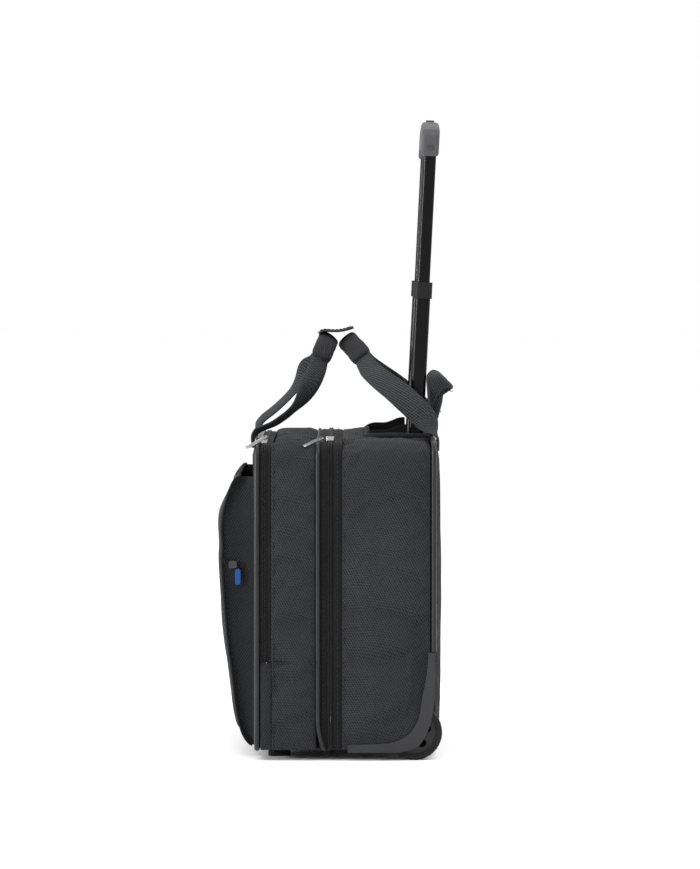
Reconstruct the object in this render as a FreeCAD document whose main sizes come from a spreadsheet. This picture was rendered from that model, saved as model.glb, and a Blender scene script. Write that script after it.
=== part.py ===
# Rolling laptop case: two padded fabric halves on a telescopic trolley.
# Millimetres.  Front of the case is -X, back is +X, width is Y, up is +Z, the floor is Z = 0.
# "left" is -Y and "right" is +Y, as seen by a person standing behind the case.
import FreeCAD, Part
import math
import os
import re
import Sketcher

Vector = FreeCAD.Vector
doc = FreeCAD.newDocument("rolling_laptop_case")
sheet = doc.addObject("Spreadsheet::Sheet", "dims")

SIZES = {
    # case shell
    "half_width": 220, "case_bottom": 11, "rear_top": 345, "front_top": 342,
    "front_face": -88, "back_face": 107, "split_plane": -6.5, "board": 5, "skin": 3,
    "edge_radius": 14, "piping": 5, "seam_gap": 0.5,
    # zipper bands that run up both sides and over the top
    "band_front": -17, "band_rear": 6.5, "cord_front": -22, "cord_rear": -17.5,
    "lid_zip_plane": -78, "lid_zip_rear": -70, "lid_rear": -83, "lid_zip_end": 105,
    # inner walls
    "divider_plane": -26, "lining_plane": 28, "sleeve_plane": 3, "sleeve_half": 195, "sleeve_top": 282,
    # handle recess
    "recess_front": 33, "recess_rear": 101, "recess_half": 128, "recess_floor": 296, "recess_wall": 2,
    "lip_height": 5, "lip_margin": 2,
    # telescopic handle; heights are measured along the leaning tubes
    "tube_lean": 2.9, "tube_foot": 69.3, "tube_half_pitch": 110,
    "inner_deep": 14, "inner_broad": 10, "tube_wall": 1.3, "tube_fit": 0.1,
    "outer_deep": 17, "outer_broad": 13, "fixed_deep": 20, "fixed_broad": 16,
    "fixed_low": 20, "fixed_high": 298, "outer_low": 236, "outer_high": 516,
    "inner_low": 379, "inner_high": 654, "collar_height": 18, "collar_wall": 1.6,
    "grip_low": 654, "grip_end_height": 32, "grip_high": 693, "grip_half": 122, "grip_deep": 19,
    "grip_round": 3.5, "screw_radius": 3, "screw_proud": 1.2,
    "button_half": 17, "button_deep": 9, "button_height": 11, "button_proud": 2.5, "button_play": 0.4,
    # wheels
    "wheel_x": 84.5, "wheel_radius": 30, "rim_radius": 23, "wheel_width": 22, "wheel_outer": 212,
    "tyre_round": 3, "spoke_circle": 14, "spoke_hole": 4.6, "axle_radius": 4, "axle_fit": 0.05, "housing_inner": 186,
    "housing_wall": 2, "housing_front": 50, "housing_top": 65, "guard_proud": 1.5, "guard_top": 117, "guard_back_inner": 184,
    "foot_x": -62, "foot_y": 150, "foot_long": 24, "foot_broad": 34,
    # front pocket
    "pocket_half": 166, "pocket_skin": 3, "pocket_lip": 316, "pocket_zip_height": 213,
    # carry handles
    "webbing": 28, "webbing_end": 19, "webbing_thick": 2.5, "sleeve_wide": 22, "sleeve_thick": 11,
    "front_strap": 84, "rear_strap": 147, "patch_low": 286, "patch_high": 46, "patch_margin": 4,
    "tab_half": 27, "tab_thick": 1.8, "strap_tilt": 15,
    # top flap
    "flap_half": 126,
    # zipper sliders
    "slider_long": 10, "slider_wide": 9, "slider_high": 3, "pull_long": 30, "pull_wide": 6, "pull_thick": 1.6,
    "pull_round": 2, "ring_hole": 1.2, "ring_inset": 2.6, "slider_first": -200, "slider_second": -172,
}
for row, (alias, amount) in enumerate(SIZES.items(), start=1):
    sheet.set(f"A{row}", alias)
    sheet.set(f"B{row}", str(amount))
    sheet.setAlias(f"B{row}", alias)
doc.recompute()

sub_parts = []


def bound(text):
    """Expression text with every size name pointed at the sheet."""
    return re.sub(r"[a-z][a-z_]+", lambda word: "dims." + word.group(0), str(text))


def size(text):
    """Present value of an expression in millimetres."""
    return float(sheet.evalExpression(bound(text)))


def keep(item, label):
    item.Label = label
    sub_parts.append(item)
    return item


def group(label, members):
    """Alike pieces that share one node as separate solids."""
    bundle = doc.addObject("Part::Compound", label)
    bundle.Links = members
    for member in members:
        if member in sub_parts:
            sub_parts.remove(member)
    doc.recompute()
    return keep(bundle, label)


def new_sketch(body, plane, offset, name):
    sketch = body.newObject("Sketcher::SketchObject", name)
    planes = {feature.Role: feature for feature in body.Origin.OriginFeatures}
    sketch.AttachmentSupport = [(planes[plane + "_Plane"], "")]
    sketch.MapMode = "FlatFace"
    sketch.setExpression("AttachmentOffset.Base.z", bound(offset))
    return sketch


def pin(sketch, kind, geometry, point, text):
    number = sketch.addConstraint(Sketcher.Constraint(kind, -1, 1, geometry, point, size(text)))
    sketch.setExpression(f"Constraints[{number}]", bound(text))


def add_polygon(sketch, corners):
    first = sketch.GeometryCount
    points = [Vector(size(across), size(up), 0) for across, up in corners]
    count = len(points)
    sketch.addGeometry([Part.LineSegment(points[i], points[(i + 1) % count]) for i in range(count)], False)
    for i in range(count):
        sketch.addConstraint(Sketcher.Constraint("Coincident", first + i, 2, first + (i + 1) % count, 1))
    for i, (across, up) in enumerate(corners):
        pin(sketch, "DistanceX", first + i, 1, across)
        pin(sketch, "DistanceY", first + i, 1, up)


def add_rounded(sketch, low_across, high_across, low_up, high_up, radius):
    """Rectangle with four equal round corners."""
    left, right, bottom, top, turn = (size(t) for t in (low_across, high_across, low_up, high_up, radius))
    first = sketch.GeometryCount
    quarter = math.pi / 2
    axis = Vector(0, 0, 1)

    def arc(centre_x, centre_y, start):
        return Part.ArcOfCircle(Part.Circle(Vector(centre_x, centre_y, 0), axis, turn), start, start + quarter)

    def line(x_one, y_one, x_two, y_two):
        return Part.LineSegment(Vector(x_one, y_one, 0), Vector(x_two, y_two, 0))

    sketch.addGeometry([
        line(left + turn, bottom, right - turn, bottom), arc(right - turn, bottom + turn, -quarter),
        line(right, bottom + turn, right, top - turn), arc(right - turn, top - turn, 0),
        line(right - turn, top, left + turn, top), arc(left + turn, top - turn, quarter),
        line(left, top - turn, left, bottom + turn), arc(left + turn, bottom + turn, 2 * quarter)], False)
    rules = [Sketcher.Constraint("Tangent", first + i, 2, first + (i + 1) % 8, 1) for i in range(8)]
    rules += [Sketcher.Constraint("Horizontal", first), Sketcher.Constraint("Horizontal", first + 4)]
    rules += [Sketcher.Constraint("Vertical", first + 2), Sketcher.Constraint("Vertical", first + 6)]
    rules += [Sketcher.Constraint("Equal", first + i, first + i + 2) for i in (1, 3, 5)]
    sketch.addConstraint(rules)
    pin(sketch, "DistanceX", first + 6, 1, low_across)
    pin(sketch, "DistanceX", first + 2, 1, high_across)
    pin(sketch, "DistanceY", first, 1, low_up)
    pin(sketch, "DistanceY", first + 4, 1, high_up)
    number = sketch.addConstraint(Sketcher.Constraint("Radius", first + 1, turn))
    sketch.setExpression(f"Constraints[{number}]", bound(radius))


def add_circle(sketch, across, up, radius):
    first = sketch.GeometryCount
    sketch.addGeometry(Part.Circle(Vector(size(across), size(up), 0), Vector(0, 0, 1), size(radius)), False)
    pin(sketch, "DistanceX", first, 3, across)
    pin(sketch, "DistanceY", first, 3, up)
    number = sketch.addConstraint(Sketcher.Constraint("Radius", first, size(radius)))
    sketch.setExpression(f"Constraints[{number}]", bound(radius))


def slab(label, plane, shapes, start, thickness):
    """Flat piece: outlines in one plane, padded from start to start + thickness on the third axis."""
    body = doc.addObject("PartDesign::Body", label)
    offset = f"-({start})-({thickness})" if plane == "XZ" else start
    sketch = new_sketch(body, plane, offset, label + "_outline")
    for shape in shapes:
        adders = {"polygon": add_polygon, "rounded": add_rounded, "circle": add_circle}
        adders[shape[0]](sketch, *shape[1:])
    pad = body.newObject("PartDesign::Pad", label + "_pad")
    pad.Profile = sketch
    pad.setExpression("Length", bound(thickness))
    doc.recompute()
    return keep(body, label)


def soften(body, radius, wanted):
    """Round the edges of a body that the test picks out."""
    names = [f"Edge{i}" for i, edge in enumerate(body.Shape.Edges, start=1) if wanted(edge)]
    last = body.Tip
    fillet = body.newObject("PartDesign::Fillet", body.Label + "_soft")
    fillet.Base = (last, names)
    fillet.setExpression("Radius", bound(radius))
    doc.recompute()
    return body


def box(across, up_from, up_to):
    """Outline of a rectangle symmetric about zero."""
    return ("polygon", [(f"-({across})", up_from), (across, up_from), (across, up_to), (f"-({across})", up_to)])


def arch(outer, low, high, depth, radius):
    """Upside-down U: up one side, over the top with round corners, down the other side."""
    corner = f"({radius})"
    inner = f"(({outer})-({depth}))"
    steps = 6
    points = []
    for i in range(steps + 1):
        turn = 90.0 * i / steps
        points.append((f"({outer})-{corner}*(1-{math.cos(math.radians(turn)):.5f})",
                       f"({high})-{corner}*(1-{math.sin(math.radians(turn)):.5f})"))
    mirrored = [(f"-({across})", up) for across, up in reversed(points)]
    outer_line = [(outer, low)] + points + mirrored + [(f"-({outer})", low)]
    small = f"(({radius})-({depth}))"
    points = []
    for i in range(steps + 1):
        turn = 90.0 * i / steps
        points.append((f"{inner}-{small}*(1-{math.cos(math.radians(turn)):.5f})",
                       f"({high})-({depth})-{small}*(1-{math.sin(math.radians(turn)):.5f})"))
    mirrored = [(f"-({across})", up) for across, up in reversed(points)]
    inner_line = [(inner, low)] + points + mirrored + [(f"-({inner})", low)]
    return ("polygon", outer_line + list(reversed(inner_line)))


def place_on_tubes(item):
    """Stand a piece drawn along the tubes on the leaning handle line."""
    item.Placement = FreeCAD.Placement(Vector(0, 0, 0), FreeCAD.Rotation(Vector(0, 1, 0), size("tube_lean")))
    item.setExpression("Placement.Base.x", bound("tube_foot"))


# ---- fabric shell, rear half -------------------------------------------------------------------
def smooth(points, steps=3):
    """Corners of an outline rounded into a flowing curve through the same points."""
    ends = [points[0]] + points + [points[-1]]
    curve = []
    for before, start, end, after in zip(ends, ends[1:], ends[2:], ends[3:]):
        for step in range(steps):
            t = step / steps
            place = []
            for a, b, c, d in zip(before, start, end, after):
                place.append(0.5 * (2 * b + (c - a) * t + (2 * a - 5 * b + 4 * c - d) * t * t
                                    + (3 * b - a - 3 * c + d) * t ** 3))
            curve.append((f"{place[0]:.2f}", f"{place[1]:.2f}"))
    return curve


def guard_inner():
    """Inner edge of the corner guard, from the foot strip up to the back."""
    line = [(57, 19), (75, 26), (88, 43), (93, 69), (98, 95), (99.5, size("guard_top"))]
    return smooth(line) + [("99.5", "guard_top")]


def guard_outer():
    """Outer edge of the corner guard, from its front tip down round the wheel and up the back."""
    line = [(69, 9), (84, 13.5), (93, 21), (101, 38), (105, 57), (107, 85)]
    return [("12.5", "17"), ("12.5", "9")] + smooth(line) + [("back_face", "85"), ("back_face", "guard_top")]


for side, sign in (("left", -1), ("right", 1)):
    face_start = "-half_width" if sign < 0 else "half_width-board"
    side_edge = [("band_rear", "case_bottom"), ("12.5", "case_bottom"), ("12.5", "17")] + guard_inner()
    side_edge += [("back_face-board", "guard_top"), ("back_face-board", "rear_top-edge_radius-1"),
                  ("band_rear", "rear_top-edge_radius-1")]
    slab(f"rear_side_{side}", "XZ", [("polygon", side_edge)], face_start, "board")
slab("back_panel", "YZ", [("polygon", [
    ("-housing_inner+housing_wall", "case_bottom"), ("housing_inner-housing_wall", "case_bottom"),
    ("housing_inner-housing_wall", "guard_top"), ("half_width-piping", "guard_top"),
    ("half_width-piping", "rear_top-edge_radius"), ("half_width-edge_radius", "rear_top-piping"),
    ("-half_width+edge_radius", "rear_top-piping"), ("-half_width+piping", "rear_top-edge_radius"),
    ("-half_width+piping", "guard_top"), ("-housing_inner+housing_wall", "guard_top")])],
    "back_face-board", "board")
slab("back_piping", "YZ", [arch("half_width", "guard_top", "rear_top", "piping", "edge_radius")],
     "back_face-board", "board+1")
top_arch = slab("rear_top_arch", "YZ", [arch("half_width", "rear_top-edge_radius-1", "rear_top", "board",
                                             "edge_radius")],
                "band_rear", "back_face-board-band_rear")
sub_parts.remove(top_arch)
recess_cutter = doc.addObject("Part::Box", "recess_cutter")
recess_cutter.setExpression("Length", bound("recess_rear-recess_front"))
recess_cutter.setExpression("Width", bound("2*recess_half"))
recess_cutter.setExpression("Height", bound("3*board"))
recess_cutter.setExpression("Placement.Base.x", bound("recess_front"))
recess_cutter.setExpression("Placement.Base.y", bound("-recess_half"))
recess_cutter.setExpression("Placement.Base.z", bound("rear_top-2*board"))
top_panel = doc.addObject("Part::Cut", "rear_top_panel")
top_panel.Base = top_arch
top_panel.Tool = recess_cutter
keep(top_panel, "rear_top_panel")
slab("rear_bottom_panel", "XY", [("polygon", [
    ("split_plane+1", "-half_width+board"), ("housing_front-housing_wall", "-half_width+board"),
    ("housing_front-housing_wall", "-housing_inner+housing_wall"),
    ("back_face-board", "-housing_inner+housing_wall"), ("back_face-board", "housing_inner-housing_wall"),
    ("housing_front-housing_wall", "housing_inner-housing_wall"),
    ("housing_front-housing_wall", "half_width-board"), ("split_plane+1", "half_width-board")])],
    "case_bottom", "board")
slab("rear_zip_band", "YZ", [arch("half_width", "case_bottom+1", "rear_top", "skin", "edge_radius")],
     "split_plane+seam_gap", "band_rear-split_plane-seam_gap")
slab("rear_lining", "YZ", [box("half_width-board-1", "case_bottom+board", "recess_floor-2")],
     "lining_plane", "skin")
slab("laptop_sleeve", "XY", [("polygon", [
    ("lining_plane", "-sleeve_half"), ("lining_plane", "-sleeve_half+skin"),
    ("sleeve_plane+skin", "-sleeve_half+skin"), ("sleeve_plane+skin", "sleeve_half-skin"),
    ("lining_plane", "sleeve_half-skin"), ("lining_plane", "sleeve_half"),
    ("sleeve_plane", "sleeve_half"), ("sleeve_plane", "-sleeve_half")])],
    "case_bottom+board", "sleeve_top-case_bottom-board")

# ---- handle recess -----------------------------------------------------------------------------
cup_outer = doc.addObject("Part::Box", "recess_cup_outer")
cup_inner = doc.addObject("Part::Box", "recess_cup_inner")
for piece, wall in ((cup_outer, "0"), (cup_inner, "recess_wall")):
    piece.setExpression("Length", bound(f"recess_rear-recess_front-2*{wall}"))
    piece.setExpression("Width", bound(f"2*recess_half-2*{wall}"))
    piece.setExpression("Height", bound("rear_top-recess_floor-0.5"))
    piece.setExpression("Placement.Base.x", bound(f"recess_front+{wall}"))
    piece.setExpression("Placement.Base.y", bound(f"-recess_half+{wall}"))
    piece.setExpression("Placement.Base.z", bound(f"recess_floor+{wall}"))
cup = doc.addObject("Part::Cut", "recess_cup_shell")
cup.Base = cup_outer
cup.Tool = cup_inner
for side, sign in (("left", -1), ("right", 1)):
    hole = doc.addObject("Part::Box", f"recess_hole_{side}")
    hole.setExpression("Length", bound("fixed_deep+3"))
    hole.setExpression("Width", bound("fixed_broad+1"))
    hole.setExpression("Height", bound("5*recess_wall"))
    middle = f"tube_foot+recess_floor*{math.tan(math.radians(size('tube_lean'))):.6f}"
    hole.setExpression("Placement.Base.x", bound(f"{middle}-fixed_deep/2-1.5"))
    hole.setExpression("Placement.Base.y", bound(f"{sign}*tube_half_pitch-fixed_broad/2-0.5"))
    hole.setExpression("Placement.Base.z", bound("recess_floor-2*recess_wall"))
    drilled = doc.addObject("Part::Cut", f"recess_cup_{side}")
    drilled.Base = cup
    drilled.Tool = hole
    cup = drilled
keep(cup, "recess_cup")
slab("recess_lip", "XY", [
    ("rounded", "recess_front-lip_margin", "recess_rear+lip_margin", "-recess_half-lip_margin",
     "recess_half+lip_margin", "8"),
    ("rounded", "recess_front+recess_wall", "recess_rear-recess_wall", "-recess_half+recess_wall",
     "recess_half-recess_wall", "4")], "rear_top", "lip_height")

# ---- telescopic handle -------------------------------------------------------------------------
def tube(label, sign, deep, broad, hollow_deep, hollow_broad, low, high):
    centre = f"({sign}*tube_half_pitch)"
    body = slab(label, "XY", [
        ("rounded", f"-({deep})/2", f"({deep})/2", f"{centre}-({broad})/2", f"{centre}+({broad})/2",
         f"({broad})*0.36"),
        ("rounded", f"-({hollow_deep})/2", f"({hollow_deep})/2", f"{centre}-({hollow_broad})/2",
         f"{centre}+({hollow_broad})/2", f"({hollow_broad})*0.36")], low, f"({high})-({low})")
    place_on_tubes(body)
    return body


tube_sets = {"fixed_tubes": [], "outer_tubes": [], "outer_collars": [], "inner_tubes": []}
for side, sign in (("left", -1), ("right", 1)):
    tube_sets["fixed_tubes"].append(tube(
        f"fixed_tube_{side}", sign, "fixed_deep", "fixed_broad", "outer_deep+2*tube_fit",
         "outer_broad+2*tube_fit", "fixed_low", "fixed_high"))
    tube_sets["outer_tubes"].append(tube(
        f"outer_tube_{side}", sign, "outer_deep", "outer_broad", "inner_deep+2*tube_fit",
         "inner_broad+2*tube_fit", "outer_low", "outer_high"))
    tube_sets["outer_collars"].append(tube(
        f"outer_collar_{side}", sign, "outer_deep+2*collar_wall", "outer_broad+2*collar_wall",
         "outer_deep", "outer_broad", "outer_high-collar_height", "outer_high"))
    tube_sets["inner_tubes"].append(tube(
        f"inner_tube_{side}", sign, "inner_deep", "inner_broad", "inner_deep-2*tube_wall",
         "inner_broad-2*tube_wall", "inner_low", "inner_high"))
for label, members in tube_sets.items():
    group(label, members)
slab("tube_base", "XY", [("rounded", "tube_foot-16", "tube_foot+18", "-tube_half_pitch-14",
                          "tube_half_pitch+14", "5")], "case_bottom+board", "3")

grip_corners = [
    ("-grip_half", "grip_low"), ("-grip_half+26", "grip_low"), ("-grip_half+38", "grip_low+9"),
    ("-40", "grip_low+11"), ("40", "grip_low+11"), ("grip_half-38", "grip_low+9"),
    ("grip_half-26", "grip_low"), ("grip_half", "grip_low"), ("grip_half", "grip_low+grip_end_height-9"),
    ("grip_half-4", "grip_low+grip_end_height-3"), ("grip_half-14", "grip_low+grip_end_height"),
    ("70", "grip_high-3"), ("32", "grip_high"), ("-32", "grip_high"), ("-70", "grip_high-3"),
    ("-grip_half+14", "grip_low+grip_end_height"), ("-grip_half+4", "grip_low+grip_end_height-3"),
    ("-grip_half", "grip_low+grip_end_height-9")]
grip_solid = doc.addObject("PartDesign::Body", "grip_solid")
grip_sketch = new_sketch(grip_solid, "YZ", "-grip_deep/2", "grip_outline")
add_polygon(grip_sketch, grip_corners)
grip_pad = grip_solid.newObject("PartDesign::Pad", "grip_pad")
grip_pad.Profile = grip_sketch
grip_pad.setExpression("Length", bound("grip_deep"))
doc.recompute()
grip_edges = [f"Edge{i}" for i, edge in enumerate(grip_solid.Shape.Edges, start=1)
              if edge.BoundBox.XLength < 0.01]
grip_round = grip_solid.newObject("PartDesign::Fillet", "grip_round")
grip_round.Base = (grip_pad, grip_edges)
grip_round.setExpression("Radius", bound("grip_round"))
button_well = doc.addObject("Part::Box", "button_well")
button_well.setExpression("Length", bound("button_deep+2*button_play"))
button_well.setExpression("Width", bound("2*button_half+2*button_play"))
button_well.setExpression("Height", bound("30"))
button_well.setExpression("Placement.Base.x", bound("-button_deep/2-button_play"))
button_well.setExpression("Placement.Base.y", bound("-button_half-button_play"))
button_well.setExpression("Placement.Base.z", bound("grip_high+button_proud-button_height-4"))
grip = doc.addObject("Part::Cut", "grip_shell")
grip.Base = grip_solid
grip.Tool = button_well
keep(grip, "grip_shell")
place_on_tubes(grip)
place_on_tubes(slab("release_button", "XY", [("rounded", "-button_deep/2", "button_deep/2",
                                              "-button_half", "button_half", "3")],
                    "grip_high+button_proud-button_height", "button_height"))
heads = []
for side, sign in (("left", -1), ("right", 1)):
    head = doc.addObject("Part::Cylinder", f"grip_screw_{side}")
    head.setExpression("Radius", bound("screw_radius"))
    head.setExpression("Height", bound("screw_proud"))
    head.Placement.Rotation = FreeCAD.Rotation(Vector(1, 0, 0), -90 * sign)
    head.setExpression("Placement.Base.y", bound(f"{sign}*grip_half"))
    head.setExpression("Placement.Base.z", bound("grip_low+9"))
    heads.append(head)
place_on_tubes(group("grip_screws", heads))

# ---- wheels, housings and corner guards --------------------------------------------------------
spoke_count = 5
axle_set = []
housing_set = []
for side, sign in (("left", -1), ("right", 1)):
    wheel_start = "-wheel_outer" if sign < 0 else "wheel_outer-wheel_width"
    tyre = slab(f"tyre_{side}", "XZ", [("circle", "wheel_x", "wheel_radius", "wheel_radius"),
                                       ("circle", "wheel_x", "wheel_radius", "rim_radius")],
                wheel_start, "wheel_width")
    soften(tyre, "tyre_round", lambda edge: abs(edge.Curve.Radius - size("wheel_radius")) < 0.01
           if hasattr(edge.Curve, "Radius") else False)
    openings = []
    for spoke in range(spoke_count):
        turn = 2 * math.pi * spoke / spoke_count
        openings.append(("circle", f"wheel_x+spoke_circle*{math.sin(turn):.5f}",
                         f"wheel_radius+spoke_circle*{math.cos(turn):.5f}", "spoke_hole"))
    slab(f"hub_{side}", "XZ", [("circle", "wheel_x", "wheel_radius", "rim_radius"),
                               ("circle", "wheel_x", "wheel_radius", "axle_radius+axle_fit")] + openings,
         f"{wheel_start}+1.5", "wheel_width-3")
    axle = doc.addObject("Part::Cylinder", f"axle_{side}")
    axle.setExpression("Radius", bound("axle_radius"))
    axle.setExpression("Height", bound("half_width-board-housing_inner"))
    axle.Placement.Rotation = FreeCAD.Rotation(Vector(1, 0, 0), -90 * sign)
    axle.setExpression("Placement.Base.x", bound("wheel_x"))
    axle.setExpression("Placement.Base.y", bound(f"{sign}*housing_inner"))
    axle.setExpression("Placement.Base.z", bound("wheel_radius"))
    axle_set.append(axle)

    outer_box = doc.addObject("Part::Box", f"housing_outer_{side}")
    inner_box = doc.addObject("Part::Box", f"housing_inner_{side}")
    for piece, wall in ((outer_box, "housing_wall"), (inner_box, "0")):
        piece.setExpression("Length", bound(f"back_face-board-housing_front+{wall}"
                                            + ("+10" if wall == "0" else "")))
        piece.setExpression("Width", bound(f"half_width-board-housing_inner+{wall}"
                                           + ("+10" if wall == "0" else "")))
        piece.setExpression("Height", bound(f"housing_top-case_bottom+{wall}"
                                            + ("+10" if wall == "0" else "")))
        piece.setExpression("Placement.Base.x", bound(f"housing_front-{wall}"))
        if sign < 0:
            piece.setExpression("Placement.Base.y", bound("-half_width+board" + ("-10" if wall == "0" else "")))
        else:
            piece.setExpression("Placement.Base.y", bound(f"housing_inner-{wall}"))
        piece.setExpression("Placement.Base.z", bound("case_bottom" + ("-10" if wall == "0" else "")))
    housing = doc.addObject("Part::Cut", f"wheel_housing_{side}")
    housing.Base = outer_box
    housing.Tool = inner_box
    housing_set.append(housing)

    guard_start = "-half_width-guard_proud" if sign < 0 else "half_width-board"
    cheek = slab(f"guard_cheek_{side}", "XZ", [("polygon", guard_outer() + list(reversed(guard_inner())))],
                 guard_start, "board+guard_proud")
    sub_parts.remove(cheek)
    cheek.Label = f"guard_cheek_{side}"
    back_plate = doc.addObject("Part::Box", f"guard_back_{side}")
    back_plate.setExpression("Length", bound("board+1.5"))
    back_plate.setExpression("Width", bound("half_width-guard_back_inner"))
    back_plate.setExpression("Height", bound("guard_top-housing_top"))
    back_plate.setExpression("Placement.Base.x", bound("back_face-board"))
    back_start = "-half_width" if sign < 0 else "guard_back_inner"
    back_plate.setExpression("Placement.Base.y", bound(back_start))
    back_plate.setExpression("Placement.Base.z", bound("housing_top"))
    guard = doc.addObject("Part::MultiFuse", f"corner_guard_{side}")
    guard.Shapes = [cheek, back_plate]
    keep(guard, f"corner_guard_{side}")

group("axles", axle_set)
group("wheel_housings", housing_set)

# ---- fabric shell, front half ------------------------------------------------------------------
foot_set = []
for side, sign in (("left", -1), ("right", 1)):
    face_start = "-half_width" if sign < 0 else "half_width-board"
    slab(f"front_side_{side}", "XZ", [("polygon", [
        ("lid_rear+seam_gap", "case_bottom+1"), ("cord_front", "case_bottom+1"),
        ("cord_front", "front_top-edge_radius-1"), ("lid_zip_rear", "front_top-edge_radius-1"),
        ("lid_zip_rear", "lid_zip_end"), ("lid_rear+seam_gap", "lid_zip_end")])], face_start, "board")
    foot_set.append(slab(f"foot_{side}", "XY", [
        ("rounded", "foot_x-foot_long/2", "foot_x+foot_long/2", f"{sign}*foot_y-foot_broad/2",
         f"{sign}*foot_y+foot_broad/2", "6")], "0", "case_bottom"))
group("feet", foot_set)
slab("front_top_panel", "YZ", [arch("half_width", "front_top-edge_radius-1", "front_top", "board", "edge_radius")],
     "lid_zip_rear", "cord_front-lid_zip_rear")
slab("front_bottom_panel", "XY", [("polygon", [
    ("lid_rear+2", "-half_width+board"), ("split_plane-1", "-half_width+board"),
    ("split_plane-1", "half_width-board"), ("lid_rear+2", "half_width-board")])], "case_bottom", "board")
slab("front_zip_band", "YZ", [arch("half_width", "case_bottom+1", "front_top", "skin", "edge_radius")],
     "cord_rear", "split_plane-seam_gap-cord_rear")
slab("middle_piping", "YZ", [arch("half_width+1", "case_bottom+1", "front_top+1", "piping+1", "edge_radius+1")],
     "cord_front", "cord_rear-cord_front")
slab("lid_tape_rear", "YZ", [arch("half_width", "lid_zip_end+1", "front_top", "skin", "edge_radius")],
     "lid_zip_plane+seam_gap", "lid_zip_rear-lid_zip_plane-seam_gap")
slab("inner_divider", "YZ", [("rounded", "-half_width+board+1", "half_width-board-1", "case_bottom+board",
                              "front_top-board-1", "edge_radius-board")],
     "divider_plane", "skin")

# ---- front panel (lid of the front compartment) and its pocket ---------------------------------
slab("front_panel", "YZ", [("rounded", "-half_width+piping", "half_width-piping", "case_bottom+piping",
                            "front_top-piping", "edge_radius-piping")], "front_face", "board")
slab("front_piping", "YZ", [("rounded", "-half_width", "half_width", "case_bottom", "front_top", "edge_radius"),
                            ("rounded", "-half_width+piping", "half_width-piping", "case_bottom+piping",
                             "front_top-piping", "edge_radius-piping")], "front_face", "board")
slab("lid_tape_front", "YZ", [arch("half_width", "lid_zip_end+1", "front_top", "skin", "edge_radius")],
     "lid_rear", "lid_zip_plane-seam_gap-lid_rear")

pocket_line = [(-105, 316), (-111, 304), (-117, 290), (-123, 272), (-126, 250), (-125, 229), (-126, 213),
               (-124, 185), (-121, 148), (-118, 120), (-114, 92), (-110, 58), (-106, 36), (-101, 22), (-95, 14)]
pocket_outer = [(str(across), str(up)) for across, up in pocket_line]
pocket_inner = [(f"{across}+pocket_skin", f"{up}") for across, up in pocket_line[:-1]]
slab("pocket_front", "XZ", [("polygon", pocket_outer + [("front_face", "12"), ("front_face", "12+pocket_skin")]
                             + [("-93", "14+pocket_skin")] + list(reversed(pocket_inner)))],
     "-pocket_half", "2*pocket_half")
gusset_set = []
for side, sign in (("left", -1), ("right", 1)):
    wall_start = "-pocket_half" if sign < 0 else "pocket_half-pocket_skin"
    gusset = [("front_face", "12+pocket_skin"), ("-93", "14+pocket_skin")]
    gusset += [pair for pair in reversed(pocket_inner[4:])] + [("-101", "275"), ("front_face", "285")]
    gusset_set.append(slab(f"pocket_gusset_{side}", "XZ", [("polygon", gusset)], wall_start, "pocket_skin"))
group("pocket_gussets", gusset_set)
slab("pocket_zip", "XZ", [("polygon", [("-128", "pocket_zip_height-7"), ("-125.55", "pocket_zip_height-7"),
                                       ("-126.05", "pocket_zip_height"), ("-125.65", "pocket_zip_height+7"),
                                       ("-128", "pocket_zip_height+7")])], "-pocket_half+6", "2*pocket_half-12")

# ---- top flap: a padded cover standing behind the recess, its free edge rolled to the rear -------
flap_outline = [(104, 346), (104, 360), (103.5, 376), (102.5, 392), (101.5, 404), (103, 411), (108, 414.5),
                (114, 413), (119, 409), (124, 405), (126.5, 401), (124.5, 398), (118, 398), (115.6, 383),
                (112, 367), (109, 356.5), (107.6, 346)]
slab("top_flap", "XZ", [("polygon", [(str(across), str(up)) for across, up in flap_outline])],
     "-flap_half", "2*flap_half")


# ---- carry handles -----------------------------------------------------------------------------
def section(broad, thick, chamfer):
    """Corners of a flat section; a chamfered one has eight."""
    side = broad / 2
    face = thick / 2
    if not chamfer:
        return [(-side, -face), (side, -face), (side, face), (-side, face)]
    return [(-side + chamfer, -face), (side - chamfer, -face), (side, -face + chamfer), (side, face - chamfer),
            (side - chamfer, face), (-side + chamfer, face), (-side, face - chamfer), (-side, -face + chamfer)]


def ribbon(label, stations, chamfer):
    """Flat sections lofted along a path; each station is a point, a width direction, a width and a thickness."""
    wires = []
    count = len(stations)
    for i, (point, wide, broad, thick) in enumerate(stations):
        ahead = stations[min(i + 1, count - 1)][0] - stations[max(i - 1, 0)][0]
        ahead.normalize()
        wide = (wide - ahead * wide.dot(ahead)).normalize()
        thin = ahead.cross(wide).normalize()
        corners = [point + wide * a + thin * b for a, b in section(broad, thick, chamfer)]
        wires.append(Part.makePolygon(corners + [corners[0]]))
    item = doc.addObject("Part::Feature", label)
    item.Shape = Part.makeLoft(wires, True, True)
    return keep(item, label)


def leg(label, path, sign, wide, turn_start, turn_end, first_tilt):
    """Webbing from its anchor to the sleeve: broadside along Y at first, then twisted to the sleeve's width."""
    stations = []
    last = len(path) - 1
    for i, (across, along, up) in enumerate(path):
        tilt = first_tilt * min(1.0, i / 2)
        twist = min(1.0, max(0.0, (i - turn_start) / (turn_end - turn_start)))
        turn = math.radians(tilt + (90 - tilt) * twist)
        direction = Vector(0, sign * math.cos(turn), 0) + wide * math.sin(turn)
        taper = max(0.0, 2 * i / last - 1)
        broad = size("webbing") + (size("webbing_end") - size("webbing")) * taper
        stations.append((Vector(across, along * -sign, up), direction, broad, size("webbing_thick")))
    return ribbon(label, stations, 0)


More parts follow.
